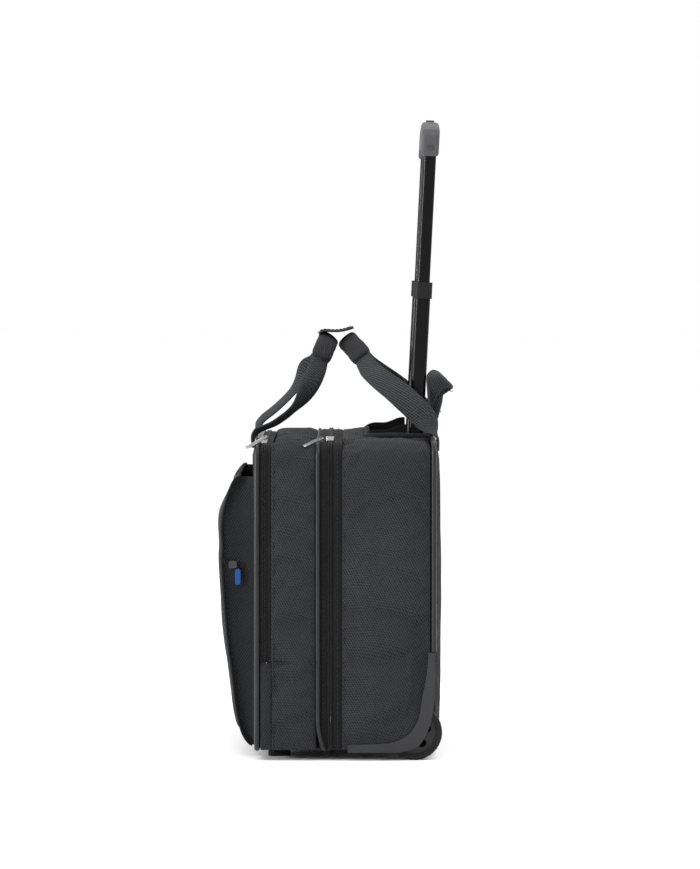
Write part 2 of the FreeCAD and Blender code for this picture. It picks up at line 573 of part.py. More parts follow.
def sleeve(label, path, wide):
    """Padded sleeve bowed over the top of the loop; the path runs from one end to the middle."""
    points = [Vector(across, -along, up) for across, along, up in path]
    points += [Vector(across, along, up) for across, along, up in reversed(path[:-1])]
    broad = size("sleeve_wide")
    thick = size("sleeve_thick")
    return ribbon(label, [(point, wide, broad, thick) for point in points], thick * 0.27)


def width_line(lean):
    return Vector(math.cos(math.radians(lean)), 0, -math.sin(math.radians(lean)))


# each path point is: distance across (X), distance from the middle (Y), height (Z)
front_path_left = [(-91, 84, 335), (-91, 84, 343.5), (-87, 84, 350.5), (-78, 84, 354.5), (-66, 83.5, 360),
                   (-50, 82, 372), (-38, 79, 386), (-29, 74, 402), (-21.5, 68, 418.5), (-18.9, 63.9, 427)]
front_path_right = [(-91, 84, 335), (-91, 84, 346), (-89, 84, 353.5), (-83, 84, 361), (-70, 83, 371.5),
                    (-54, 81, 387), (-42, 77.5, 403), (-34, 73.5, 416), (-24, 67.5, 423), (-19.2, 63.9, 427)]
rear_path = [(111, 147, 334), (110.8, 147, 345), (106.5, 147, 354), (98.5, 146, 365), (84, 142, 380),
             (66, 131, 396), (47, 112, 410.5), (36, 90, 420), (31.6, 73, 426), (29.5, 64, 429)]
front_bow = [(-18, 62, 430), (-16, 56, 434.6), (-13.6, 46, 440.6), (-11, 30, 446.6), (-9.4, 12, 450.3),
             (-9, 0, 451)]
rear_bow = [(28.6, 62, 430.4), (26, 56, 434), (22, 46, 439), (16.5, 30, 445), (13.2, 12, 448.5), (12.5, 0, 449)]
for name, paths, bow, lean, turning in (
        ("front", (front_path_left, front_path_right), front_bow, 34, (5, 8, size("strap_tilt"))),
        ("rear", (rear_path, rear_path), rear_bow, -40.8, (1, 4, 0))):
    wide = width_line(lean)
    group(f"{name}_webbing", [leg(f"{name}_webbing_left", paths[0], 1, wide, *turning),
                              leg(f"{name}_webbing_right", paths[1], -1, wide, *turning)])
    sleeve(f"{name}_sleeve", bow, wide)
    anchor_start = "front_face-webbing_thick" if name == "front" else "back_face"
    patches = []
    for side, sign in (("left", -1), ("right", 1)):
        patch = doc.addObject("Part::Box", f"{name}_patch_{side}")
        patch.setExpression("Length", bound("webbing_thick"))
        patch.setExpression("Width", bound("webbing+2*patch_margin"))
        patch.setExpression("Height", bound("patch_high"))
        patch.setExpression("Placement.Base.x", bound(anchor_start))
        patch.setExpression("Placement.Base.y", bound(f"{sign}*{name}_strap-webbing/2-patch_margin"))
        patch.setExpression("Placement.Base.z", bound("patch_low"))
        patches.append(patch)
    group(f"{name}_anchors", patches)

tab_line = [(-20.3, 457.6), (-16.9, 460.3), (-12.5, 461.2), (-3, 460.3), (6, 460.7), (13, 462), (19.5, 464)]
tab_low = [(str(across), str(up)) for across, up in tab_line]
tab_high = [(f"{across}-0.8", f"{up}+tab_thick") for across, up in tab_line]
slab("handle_tab", "XZ", [("polygon", tab_low + list(reversed(tab_high)))], "-tab_half", "2*tab_half")


# ---- zipper sliders and pulls ------------------------------------------------------------------
def slider(label, centre_x, centre_y, bottom):
    slab(label, "XY", [("rounded", f"{centre_x}-slider_wide/2", f"{centre_x}+slider_wide/2",
                        f"{centre_y}-slider_long/2", f"{centre_y}+slider_long/2", "pull_round")],
         bottom, "slider_high")


def pull(label, root_x, centre_y, low, sweep, droop):
    """Bar pull with a small ring hole: sweep turns it about the upright, droop lowers its tip."""
    bar = slab(label, "XY", [("rounded", "-pull_long", "0", "-pull_wide/2", "pull_wide/2", "pull_round"),
                             ("circle", "-ring_inset", "0", "ring_hole")], "0", "pull_thick")
    turned = FreeCAD.Rotation(Vector(0, 0, 1), sweep)
    lowered = FreeCAD.Rotation(Vector(0, 1, 0), -droop)
    bar.Placement.Rotation = turned.multiply(lowered)
    bar.setExpression("Placement.Base.x", bound(root_x))
    bar.setExpression("Placement.Base.y", bound(centre_y))
    bar.setExpression("Placement.Base.z", bound(low))


for name, plane, top in (("main", "split_plane", "rear_top"), ("lid", "lid_zip_plane", "front_top")):
    slider(f"{name}_slider_1", plane, "slider_first", f"{top}+0.3")
    slider(f"{name}_slider_2", plane, "slider_second", f"{top}+0.3")
# the first pull of each zipper hangs diagonally over the rounded top corner
pull("main_pull_1", "split_plane-slider_wide/2-3", "slider_first", "rear_top+2.6", 42, 17)
pull("main_pull_2", "split_plane", "slider_second+slider_long/2+1", "rear_top+0.6", -90, 0)
pull("lid_pull_1", "lid_zip_plane+3", "slider_first-1", "front_top+7", 40, 24)
pull("lid_pull_2", "lid_zip_plane", "slider_second+slider_long/2+1", "front_top+0.6", -90, 0)
slab("pocket_slider", "XZ", [("rounded", "-117", "-108", "pocket_zip_height-8", "pocket_zip_height", "2")],
     "-pocket_half-2.8", "2.6")
slab("pocket_tag", "XZ", [("rounded", "-110", "-104", "pocket_zip_height-26", "pocket_zip_height-9", "2")],
     "-pocket_half-2.6", "1.6")

# ---- checks and export -------------------------------------------------------------------------
doc.recompute()
for item in doc.Objects:
    if "Invalid" in item.State or "Error" in item.State:
        raise RuntimeError(f"{item.Name} did not recompute: {item.State}")
os.makedirs("parts", exist_ok=True)
labels = [item.Label for item in sub_parts]
if len(set(labels)) != len(labels):
    raise RuntimeError("two sub-parts share a label")
for item in sub_parts:
    if item.Shape.isNull() or not item.Shape.isValid():
        raise RuntimeError(f"{item.Label} has no valid shape")
    item.Shape.exportStep(f"parts/{item.Label}.step")
print(len(sub_parts), "sub-parts written")
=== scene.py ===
import math
import bmesh
import bpy
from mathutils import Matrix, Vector, noise


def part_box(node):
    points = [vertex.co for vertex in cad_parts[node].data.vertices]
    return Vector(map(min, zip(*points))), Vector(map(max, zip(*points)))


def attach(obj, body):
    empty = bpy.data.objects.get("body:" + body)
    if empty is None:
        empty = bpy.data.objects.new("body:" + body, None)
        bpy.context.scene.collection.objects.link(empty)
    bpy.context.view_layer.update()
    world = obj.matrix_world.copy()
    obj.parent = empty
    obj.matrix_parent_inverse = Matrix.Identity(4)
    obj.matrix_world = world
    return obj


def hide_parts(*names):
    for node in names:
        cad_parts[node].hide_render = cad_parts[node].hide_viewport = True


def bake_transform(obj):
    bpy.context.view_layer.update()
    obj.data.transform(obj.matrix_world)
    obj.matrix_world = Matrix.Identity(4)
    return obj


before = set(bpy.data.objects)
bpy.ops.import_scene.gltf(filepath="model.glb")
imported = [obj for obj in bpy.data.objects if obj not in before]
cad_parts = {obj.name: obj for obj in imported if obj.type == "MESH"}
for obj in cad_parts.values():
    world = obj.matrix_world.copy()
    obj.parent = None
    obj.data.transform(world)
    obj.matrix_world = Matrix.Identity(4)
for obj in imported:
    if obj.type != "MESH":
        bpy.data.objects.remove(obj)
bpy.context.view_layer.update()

MM = 0.001
CLOTH_FRAMES = 20
CLOTH = {"quality": 5, "mass": 0.25, "tension_stiffness": 25, "compression_stiffness": 12,
         "bending_stiffness": 0.6, "use_pressure": True, "shrink_min": -0.035}
cloth_jobs = []


# ---- sizes, read from the frame ----------------------------------------------------------------
def low(node, axis):
    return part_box(node)[0][axis]


def high(node, axis):
    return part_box(node)[1][axis]


HALF = high("back_piping", 1)
BOTTOM = low("rear_side_left", 2)
REAR_TOP = high("rear_top_panel", 2)
FRONT_TOP = high("front_piping", 2)
BACK_FACE = high("back_panel", 0)
FRONT_FACE = low("front_piping", 0)
BAND_REAR = high("rear_zip_band", 0)
SPLIT = low("rear_zip_band", 0) - 0.5 * MM
CORD_REAR = high("middle_piping", 0)
CORD_FRONT = low("middle_piping", 0)
LID_ZIP_REAR = high("lid_tape_rear", 0)
LID_ZIP = low("lid_tape_rear", 0) - 0.5 * MM
LID_REAR = low("lid_tape_front", 0)
LID_ZIP_END = low("lid_tape_rear", 2)
GUARD_TOP = high("corner_guard_left", 2)
RECESS_HALF = high("recess_cup", 1)
RECESS_FRONT = low("recess_cup", 0)
RECESS_REAR = high("recess_cup", 0)
EDGE_RADIUS = 14 * MM
# middle line of the corner guard's band, as (X, Z) in millimetres
GUARD_LINE = ((-20, 13), (12.5, 13), (63, 14), (80, 20), (90.5, 32), (97, 53.5), (101.5, 76), (103, 117),
              (104, 140))


# ---- materials ---------------------------------------------------------------------------------
class Nodes:
    """Short ways to add and join shader nodes in one material."""

    def __init__(self, name):
        self.material = bpy.data.materials.new(name)
        self.material.use_nodes = True
        self.tree = self.material.node_tree
        self.tree.nodes.clear()
        self.output = self.add("ShaderNodeOutputMaterial")
        self.shader = self.add("ShaderNodeBsdfPrincipled")
        self.link(self.shader, "BSDF", self.output, "Surface")
        self.where = self.add("ShaderNodeTexCoord")

    def add(self, kind, inputs=(), **settings):
        """A new node; inputs are (input, value) pairs and settings are the node's own properties."""
        node = self.tree.nodes.new(kind)
        for key, value in settings.items():
            setattr(node, key, value)
        for key, value in inputs:
            node.inputs[key].default_value = value
        return node

    def link(self, source, out, target, into):
        self.tree.links.new(source.outputs[out], target.inputs[into])

    def spot(self, turn):
        mapping = self.add("ShaderNodeMapping", [("Rotation", turn)])
        self.link(self.where, "Object", mapping, "Vector")
        return mapping

    def ribs(self, period, turn):
        """Parallel ribs that repeat every period metres."""
        wave = self.add("ShaderNodeTexWave", [("Distortion", 1.2), ("Detail", 2.0), ("Detail Scale", 2.0),
                                              ("Scale", math.pi / (10 * period))])
        self.link(self.spot(turn), "Vector", wave, "Vector")
        return wave

    def grain(self, scale, detail=3.0):
        texture = self.add("ShaderNodeTexNoise", [("Detail", detail), ("Scale", scale)])
        self.link(self.where, "Object", texture, "Vector")
        return texture

    def mixed(self, factor, out, first, second):
        mix = self.add("ShaderNodeMix", [(6, (*first, 1)), (7, (*second, 1))], data_type="RGBA")
        self.link(factor, out, mix, "Factor")
        return mix

    def sum(self, first, first_out, second, second_out, share):
        """first + share * second"""
        add = self.add("ShaderNodeMath", [(1, share)], operation="MULTIPLY_ADD")
        self.link(second, second_out, add, 0)
        self.link(first, first_out, add, 2)
        return add

    def bump(self, height, out, distance, strength=1.0):
        bump = self.add("ShaderNodeBump", [("Strength", strength), ("Distance", distance)])
        self.link(height, out, bump, "Height")
        self.link(bump, "Normal", self.shader, "Normal")

    def surface(self, **values):
        """Values of the shader; an underscore in a name stands for a space."""
        for key, value in values.items():
            self.shader.inputs[key.replace("_", " ")].default_value = value


def cloth_material(name, dark, light, period, turn, depth=0.45 * MM):
    """Woven cloth: two crossed sets of ribs, thread noise, slow colour drift and a little dust."""
    nodes = Nodes(name)
    warp = nodes.ribs(period, turn)
    weft = nodes.ribs(period * 0.8, (turn[0] + 1.35, turn[1] + 0.9, turn[2] + 0.6))
    weave = nodes.sum(warp, "Fac", weft, "Fac", 0.55)
    threads = nodes.sum(weave, "Value", nodes.grain(900), "Fac", 0.9)
    spread = nodes.add("ShaderNodeMapRange", [("From Min", 0.35), ("From Max", 1.75)])
    nodes.link(threads, "Value", spread, "Value")
    woven = nodes.mixed(spread, "Result", dark, light)
    drift = nodes.add("ShaderNodeMix", [(0, 0.55)], data_type="RGBA", blend_type="MULTIPLY")
    nodes.link(woven, 2, drift, 6)
    ramp = nodes.add("ShaderNodeMapRange", [("From Min", 0.3), ("From Max", 0.7), ("To Min", 0.7),
                                            ("To Max", 1.15)])
    nodes.link(nodes.grain(14, 5.0), "Fac", ramp, "Value")
    nodes.link(ramp, "Result", drift, 7)
    nodes.link(drift, 2, nodes.shader, "Base Color")
    nodes.bump(threads, "Value", depth)
    nodes.surface(Roughness=0.8, Sheen_Weight=0.02, Sheen_Roughness=0.5, Specular_IOR_Level=0.12)
    return nodes.material


def moulded_material(name, dark, light, roughness, depth=0.12 * MM, metallic=0.0, shine=0.3):
    """Moulded or painted surface: fine grain, uneven gloss, slight handling marks."""
    nodes = Nodes(name)
    marks = nodes.grain(35, 6.0)
    nodes.link(nodes.mixed(marks, "Fac", dark, light), 2, nodes.shader, "Base Color")
    gloss = nodes.add("ShaderNodeMapRange", [("To Min", roughness * 0.8),
                                             ("To Max", min(1.0, roughness * 1.25))])
    nodes.link(nodes.grain(90, 4.0), "Fac", gloss, "Value")
    nodes.link(gloss, "Result", nodes.shader, "Roughness")
    nodes.bump(nodes.grain(1680), "Fac", depth, 0.6)
    nodes.surface(Metallic=metallic, Specular_IOR_Level=shine)
    return nodes.material


def grey(level, blue=0.0):
    return (level, level, level + blue)


MATERIALS = {
    "body": cloth_material("case_twill", (0.0015, 0.0016, 0.0018), (0.026, 0.027, 0.029), 2.4 * MM,
                           (0.0, 0.5, 0.0)),
    "lower": cloth_material("gusset_twill", (0.0015, 0.0016, 0.0018), (0.022, 0.023, 0.025), 2.4 * MM,
                            (0, -0.6, 0)),
    "lining": cloth_material("lining_weave", grey(0.0008), grey(0.004), 1.0 * MM, (0.2, 0.4, 0)),
    "tape": cloth_material("zip_tape_weave", grey(0.001), grey(0.014, 0.001), 1.1 * MM, (0, 1.57, 0)),
    "webbing": cloth_material("webbing_weave", grey(0.002, 0.0005), (0.04, 0.042, 0.045), 2.4 * MM,
                              (0.5, 0.9, 0), depth=0.7 * MM),
    "sleeve": cloth_material("sleeve_weave", grey(0.003, 0.0005), grey(0.024, 0.002), 1.4 * MM,
                             (0.3, 0.2, 0.4)),
    "thread": cloth_material("stitch_thread", grey(0.012, 0.001), grey(0.045, 0.003), 0.5 * MM,
                             (0.7, 0.7, 0)),
    "cord": moulded_material("piping_cord", grey(0.002, 0.0005), grey(0.012, 0.001), 0.36, shine=0.3),
    "coil": moulded_material("zipper_coil", grey(0.002), grey(0.01, 0.001), 0.4, shine=0.25),
    "tube": moulded_material("tube_paint", grey(0.001), grey(0.0035), 0.22, shine=0.12),
    "collar": moulded_material("collar_mould", grey(0.003), grey(0.008), 0.5, shine=0.15),
    "grip": moulded_material("grip_soft", grey(0.036, 0.003), grey(0.056, 0.004), 0.55, shine=0.25),
    "guard": moulded_material("guard_mould", grey(0.01, 0.001), grey(0.024, 0.002), 0.45, depth=0.2 * MM,
                              shine=0.25),
    "cup": moulded_material("cup_mould", grey(0.002), grey(0.006), 0.55, shine=0.15),
    "tyre": moulded_material("tyre_rubber", grey(0.004), grey(0.014), 0.7, shine=0.2),
    "hub": moulded_material("hub_mould", grey(0.006), grey(0.022, 0.001), 0.42, shine=0.25),
    "steel": moulded_material("plain_steel", grey(0.03, 0.002), grey(0.12, 0.005), 0.4, metallic=1.0),
    "pull": moulded_material("plated_pull", grey(0.2, 0.01), grey(0.5, 0.01), 0.22, metallic=1.0),
    "slide": moulded_material("pocket_slide_metal", grey(0.02, 0.001), grey(0.1, 0.005), 0.3, metallic=1.0),
    "tag": moulded_material("tag_mould", (0.0, 0.02, 0.09), (0.0, 0.06, 0.26), 0.5),
    "foot": moulded_material("foot_rubber", grey(0.004), grey(0.012), 0.8, shine=0.15),
}


SIDES = ((-1, "left"), (1, "right"))


# ---- building blocks ---------------------------------------------------------------------------
def finish_piece(piece, body, material, replaced=()):
    """Gives a piece its material and the body it rides on, and hides the frame parts it replaces."""
    piece.data.materials.clear()
    piece.data.materials.append(MATERIALS[material])
    if body:
        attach(piece, body)
    if replaced:
        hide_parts(*replaced)
    return piece


def new_piece(name, points, faces):
    mesh = bpy.data.meshes.new(name)
    mesh.from_pydata([tuple(p) for p in points], [], faces)
    mesh.validate()
    mesh.shade_smooth()
    piece = bpy.data.objects.new(name, mesh)
    bpy.context.scene.collection.objects.link(piece)
    return piece


def crumple(point, amount, size=0.055):
    """Small uneven swelling, the same on every run."""
    return amount * noise.noise(point / size) + 0.4 * amount * noise.noise(point / (size * 0.37))


def crown(u, v, power=4):
    return (1 - abs(2 * u - 1) ** power) * (1 - abs(2 * v - 1) ** power)


def padded_sheet(name, surface, columns, rows, thick, puff=2.5 * MM, fold=1.0 * MM, keep=None, swell=0.0,
                 cap=9 * MM, calm=None):
    """Closed padded sheet over surface(u, v) -> (point, outward); it is crowned, creased and then inflated.

    keep(u, v) says which cells exist; calm(u, v) from 0 to 1 holds the sheet down near a hard part."""
    front, back, held = [], [], set()
    for row in range(rows + 1):
        for column in range(columns + 1):
            u, v = column / columns, row / rows
            point, outward = surface(u, v)
            rise = crown(u, v) * puff + crumple(point, fold) * min(1, 6 * u, 6 * v, 6 - 6 * u, 6 - 6 * v)
            if calm is not None:
                ease = calm(u, v)
                rise = rise * ease - (1 - ease) * 0.8 * MM
                if ease < 0.35:
                    held.add(len(front))
            front.append(point + outward * rise)
            back.append(point - outward * thick)
    wide = columns + 1
    quads = []
    for row in range(rows):
        for column in range(columns):
            if keep is None or keep((column + 0.5) / columns, (row + 0.5) / rows):
                start = row * wide + column
                quads.append((start, start + 1, start + wide + 1, start + wide))
    edges = {}
    for quad in quads:
        for i in range(4):
            pair = (quad[i], quad[(i + 1) % 4])
            edges.setdefault(tuple(sorted(pair)), []).append(pair)
    shift = len(front)
    faces = quads + [tuple(i + shift for i in reversed(quad)) for quad in quads]
    for pairs in edges.values():
        if len(pairs) == 1:
            a, b = pairs[0]
            faces.append((b, a, a + shift, b + shift))
            held.update((a, b))
    used = sorted({i for quad in quads for i in quad})
    used += [i + shift for i in used]
    order = {old: new for new, old in enumerate(used)}
    points = front + back
    piece = new_piece(name, [points[i] for i in used], [tuple(order[i] for i in face) for face in faces])
    middle, outward = surface(0.5, 0.5)
    centre = min(piece.data.polygons[:len(quads)], key=lambda p: (p.center - middle).length)
    if centre.normal.dot(outward) < 0:
        piece.data.flip_normals()
    pinned = [order[i] for i in held if i in order] + [order[i] for i in used if i >= shift]
    if swell > 0:
        cloth_jobs.append((piece, pinned, swell, cap))
    else:
        add_softness(piece)
    return piece


def swept_piece(name, rings):
    """Closed skin through equal rings of points, capped flat at both ends."""
    turn = len(rings[0])
    points = [point for ring in rings for point in ring]
    faces = []
    for i in range(len(rings) - 1):
        for j in range(turn):
            k = (j + 1) % turn
            faces.append((i * turn + j, i * turn + k, (i + 1) * turn + k, (i + 1) * turn + j))
    faces.append(tuple(reversed(range(turn))))
    faces.append(tuple(range((len(rings) - 1) * turn, len(rings) * turn)))
    piece = new_piece(name, points, faces)
    clean = bmesh.new()
    clean.from_mesh(piece.data)
    bmesh.ops.recalc_face_normals(clean, faces=clean.faces)
    clean.to_mesh(piece.data)
    clean.free()
    return piece


def add_softness(piece):
    rounding = piece.modifiers.new("soft", "SUBSURF")
    rounding.levels = 1
    rounding.render_levels = 1


def run_cloth():
    """Inflates every padded sheet together, then keeps the shape within its cap."""
    scene = bpy.context.scene
    scene.frame_start = 1
    scene.frame_end = CLOTH_FRAMES
    starts = []
    for piece, pinned, swell, cap in cloth_jobs:
        starts.append([v.co.copy() for v in piece.data.vertices])
        group = piece.vertex_groups.new(name="held")
        group.add(pinned, 1.0, "REPLACE")
        cloth = piece.modifiers.new("cloth", "CLOTH")
        settings = cloth.settings
        settings.vertex_group_mass = "held"
        for key, value in CLOTH.items():
            setattr(settings, key, value)
        settings.uniform_pressure_force = swell
        settings.effector_weights.gravity = 0
        cloth.point_cache.frame_start = 1
        cloth.point_cache.frame_end = CLOTH_FRAMES
    for number in range(1, CLOTH_FRAMES + 1):
        scene.frame_set(number)
    graph = bpy.context.evaluated_depsgraph_get()
    for (piece, pinned, swell, cap), start in zip(cloth_jobs, starts):
        shaped = piece.evaluated_get(graph).to_mesh()
        moved = [v.co.copy() for v in shaped.vertices]
        piece.evaluated_get(graph).to_mesh_clear()
        piece.modifiers.clear()
        for vertex, before, after in zip(piece.data.vertices, start, moved):
            step = after - before
            if step.length > cap:
                step = step * (cap / step.length)
            vertex.co = before + step
    scene.frame_set(1)
    for piece, pinned, swell, cap in cloth_jobs:
        add_softness(piece)


def arch_point(run, base, top):
    """(y, z) and outward (y, z) at a run along the case's outline, from the left bottom over the top."""
    half, radius = HALF, EDGE_RADIUS
    side = top - radius - base
    bend = radius * math.pi / 2
    flat = 2 * (half - radius)
    if run < side:
        return (-half, base + run), (-1, 0)
    run -= side
    if run < bend:
        turn = run / radius
        out = (-math.cos(turn), math.sin(turn))
        return (-half + radius + radius * out[0], top - radius + radius * out[1]), out
    run -= bend
    if run < flat:
        return (-half + radius + run, top), (0, 1)
    run -= flat
    if run < bend:
        turn = run / radius
        out = (math.sin(turn), math.cos(turn))
        return (half - radius + radius * out[0], top - radius + radius * out[1]), out
    run -= bend
    return (half, top - radius - run), (1, 0)


def arch_length(base, top):
    return 2 * (top - EDGE_RADIUS - base) + EDGE_RADIUS * math.pi + 2 * (HALF - EDGE_RADIUS)


def wrap_surface(x_low, x_high, run_low, run_high, base, top, inset=0.0, sag=None):
    def surface(u, v):
        run = run_low + (run_high - run_low) * v
        (y, z), (out_y, out_z) = arch_point(run, base, top)
        x = x_low + (x_high - x_low) * u
        outward = Vector((0, out_y, out_z))
        point = Vector((x, y, z)) - outward * inset
        if sag is not None and out_z > 0:
            point.z -= sag(x, y) * out_z
        return point, outward
    return surface


def tube_along(name, path, radius, body, material, closed=False, replaced=(), sides=2):
    """Round cord along a list of points."""
    curve = bpy.data.curves.new(name, "CURVE")
    curve.dimensions = "3D"
    curve.bevel_depth = radius
    curve.bevel_resolution = sides
    curve.use_fill_caps = True
    spline = curve.splines.new("POLY")
    spline.points.add(len(path) - 1)
    for point, place in zip(spline.points, path):
        point.co = (*place, 1)
    spline.use_cyclic_u = closed
    draft = bpy.data.objects.new(name + "_draft", curve)
    bpy.context.scene.collection.objects.link(draft)
    graph = bpy.context.evaluated_depsgraph_get()
    mesh = bpy.data.meshes.new_from_object(draft.evaluated_get(graph))
    bpy.data.objects.remove(draft)
    mesh.name = name
    mesh.shade_smooth()
    piece = bpy.data.objects.new(name, mesh)
    bpy.context.scene.collection.objects.link(piece)
    return finish_piece(piece, body, material, replaced)


def bricks(name, places, body, material):
    """Many small blunt blocks in one mesh; each place is (centre, along, across, outward, half sizes)."""
    points, faces = [], []
    for centre, along, across, outward, (long, broad, tall) in places:
        first = len(points)
        for up, taper in ((-1, 1.0), (1, 0.62)):
            for a, b in ((-1, -1), (1, -1), (1, 1), (-1, 1)):
                flat = along * a * long * taper + across * b * broad * taper
                points.append(centre + flat + outward * up * tall)
        for quad in ((0, 3, 2, 1), (4, 5, 6, 7), (0, 1, 5, 4), (1, 2, 6, 5), (2, 3, 7, 6), (3, 0, 4, 7)):
            faces.append(tuple(first + i for i in quad))
    return finish_piece(new_piece(name, points, faces), body, material)


def even_steps(samples, step):
    """Places every step metres along (point, outward) samples: (point, along, across, outward)."""
    placed = []
    left = 0.0
    for (one, out_one), (two, out_two) in zip(samples, samples[1:]):
        span = (two - one).length
        if span == 0:
            continue
        along = (two - one) / span
        while left < span:
            share = left / span
            outward = out_one.lerp(out_two, share).normalized()
            across = outward.cross(along).normalized()
            placed.append((one.lerp(two, share), along, across, outward))
            left += step
        left -= span
    return placed


def stitch(name, samples, body, lift=0.3 * MM, pitch=5.0 * MM):
    """Row of thread stitches; each is a short raised dash."""
    places = [(point + outward * lift, along, across, outward, (1.75 * MM, 0.42 * MM, 0.4 * MM))
              for point, along, across, outward in even_steps(samples, pitch)]
    return bricks(name, places, body, "thread")


def zipper_row(name, samples, body, side, pitch=2.0 * MM):
    """One half of a zipper coil; its teeth sit to one side of the closing line."""
    places = []
    for number, (point, along, across, outward) in enumerate(even_steps(samples, pitch)):
        shift = pitch * 0.5 if side > 0 else 0.0
        centre = point + along * shift + Vector((1, 0, 0)) * side * 1.25 * MM + outward * 0.6 * MM
        places.append((centre, along, across, outward, (0.62 * MM, 1.5 * MM, 0.75 * MM)))
    return bricks(name, places, body, "coil")


def arch_samples(x, base, top, lift=0.0, run_low=0.0, run_high=None, step=4 * MM, drop=None):
    end = arch_length(base, top) if run_high is None else run_high
    count = max(2, int((end - run_low) / step))
    samples = []
    for i in range(count + 1):
        run = run_low + (end - run_low) * i / count
        (y, z), (out_y, out_z) = arch_point(run, base, top)
        outward = Vector((0, out_y, out_z))
        place = x(z) if callable(x) else x
        point = Vector((place, y, z)) + outward * lift
        if drop is not None and out_z > 0:
            point.z -= drop(place, y) * out_z
        samples.append((point, outward))
    return samples


# ---- rear half ---------------------------------------------------------------------------------
def top_sag(x, y):
    """How far the soft top hangs between its stiff edges."""
    middle = max(0.0, 1 - (abs(y) / (HALF * 0.97)) ** 4)
    near_band = math.exp(-((x - CORD_FRONT + 6 * MM) / (26 * MM)) ** 2)
    return middle * (4.4 * MM + 2.4 * MM * near_band)


def rear_sag(x, y):
    """The rear top hangs between the side seam and the stiff edge of the recess."""
    across = (abs(y) - RECESS_HALF) / (HALF - EDGE_RADIUS - RECESS_HALF)
    return 6.5 * MM * max(0.0, min(1.0, 2.2 * across)) ** 1.4


def guard_distance(point):
    """How far a point of the side lies from the guard's middle line; negative on the guard's outer side."""
    line = [Vector((x * MM, z * MM)) for x, z in GUARD_LINE]
    place = Vector((point.x, point.z))
    best, sign = 1.0, 1
    for one, two in zip(line, line[1:]):
        run = two - one
        share = min(1.0, max(0.0, (place - one).dot(run) / run.length_squared))
        gap = place - one - run * share
        if gap.length < best:
            best = gap.length
            sign = 1 if run.x * gap.y - run.y * gap.x > 0 else -1
    if point.z > GUARD_TOP:
        return max(best, 8 * MM)
    return best * sign


def rear_wraps():
    base = BOTTOM + 0.5 * MM
    over_corner = (REAR_TOP - EDGE_RADIUS - base) + EDGE_RADIUS * math.pi / 2
    reach = over_corner + (HALF - EDGE_RADIUS - RECESS_HALF - 2 * MM)
    whole = arch_length(base, REAR_TOP)
    for name, start, end in (("left", 0.0, reach), ("right", whole - reach, whole)):
        surface = wrap_surface(BAND_REAR, BACK_FACE - 5 * MM, start, end, base, REAR_TOP, sag=rear_sag)

        def keep(u, v, surface=surface):
            point, outward = surface(u, v)
            return abs(outward.z) > 0.1 or guard_distance(point) > 0

        def calm(u, v, surface=surface):
            point, outward = surface(u, v)
            far = (guard_distance(point) - 6 * MM) / (16 * MM)
            return 1.0 if abs(outward.z) > 0.1 else min(1.0, max(0.0, far))

        piece = padded_sheet(f"rear_skin_{name}", surface, 34, 120, 3 * MM, puff=2.6 * MM, fold=1.1 * MM,
                             keep=keep, swell=4.0, cap=6 * MM, calm=calm)
        replaced = ("rear_side_left", "rear_top_panel") if name == "left" else ("rear_side_right",)
        finish_piece(piece, "case", "body", replaced)
    strip = reach - 1 * MM
    strips = (("front", BAND_REAR, RECESS_FRONT), ("back", RECESS_REAR, BACK_FACE - 1 * MM))
    for name, x_low, x_high in strips:
        surface = wrap_surface(x_low, x_high, strip, whole - strip, base, REAR_TOP)
        piece = padded_sheet(f"rear_top_{name}", surface, 8, 60, 3 * MM, puff=1.2 * MM, fold=0.9 * MM)
        finish_piece(piece, "case", "body")
    for name, start, end in (("left", 6 * MM, reach), ("right", whole - reach, whole - 6 * MM)):
        seam = arch_samples(BAND_REAR + 2.2 * MM, base, REAR_TOP, 0.6 * MM, start, end, drop=rear_sag)
        stitch(f"rear_seam_{name}", seam, "case")


def flat_surface(origin, along_u, along_v, outward):
    """Flat sheet from one corner, with its two edge directions and its outward side."""
    origin, along_u, along_v, outward = (Vector(t) for t in (origin, along_u, along_v, outward))

    def surface(u, v):
        return origin + along_u * u + along_v * v, outward
    return surface


def back_panel():
    inset = 5 * MM
    wheel_half = high("back_panel", 1) - 30 * MM
    surface = flat_surface((BACK_FACE, -HALF + inset, BOTTOM), (0, 2 * (HALF - inset), 0),
                           (0, 0, REAR_TOP - inset - BOTTOM), (1, 0, 0))

    def keep(u, v):
        y = (2 * u - 1) * (HALF - inset)
        z = BOTTOM + v * (REAR_TOP - inset - BOTTOM)
        corner = abs(y) > HALF - EDGE_RADIUS and z > REAR_TOP - EDGE_RADIUS and \
            math.hypot(abs(y) - HALF + EDGE_RADIUS, z - REAR_TOP + EDGE_RADIUS) > EDGE_RADIUS - inset + 2 * MM
        return not corner and not (abs(y) > wheel_half and z < GUARD_TOP - 3 * MM)

    piece = padded_sheet("back_skin", surface, 72, 56, 4 * MM, puff=2.5 * MM, fold=1.2 * MM, keep=keep,
                         swell=3.0, cap=5 * MM)
    finish_piece(piece, "case", "body", ("back_panel",))
    base = GUARD_TOP + 1 * MM
    path = [p for p, n in arch_samples(BACK_FACE - 1.6 * MM, base, REAR_TOP, -1.2 * MM)]
    tube_along("back_cord", path, 3.1 * MM, "case", "cord", replaced=("back_piping",), sides=3)
    for name, offset in (("outer", 7 * MM), ("inner", 11 * MM)):
        samples = []
        for point, outward in arch_samples(BACK_FACE + 1.2 * MM, base, REAR_TOP, -offset):
            samples.append((point, Vector((1, 0, 0))))
        stitch(f"back_stitch_{name}", samples, "case")


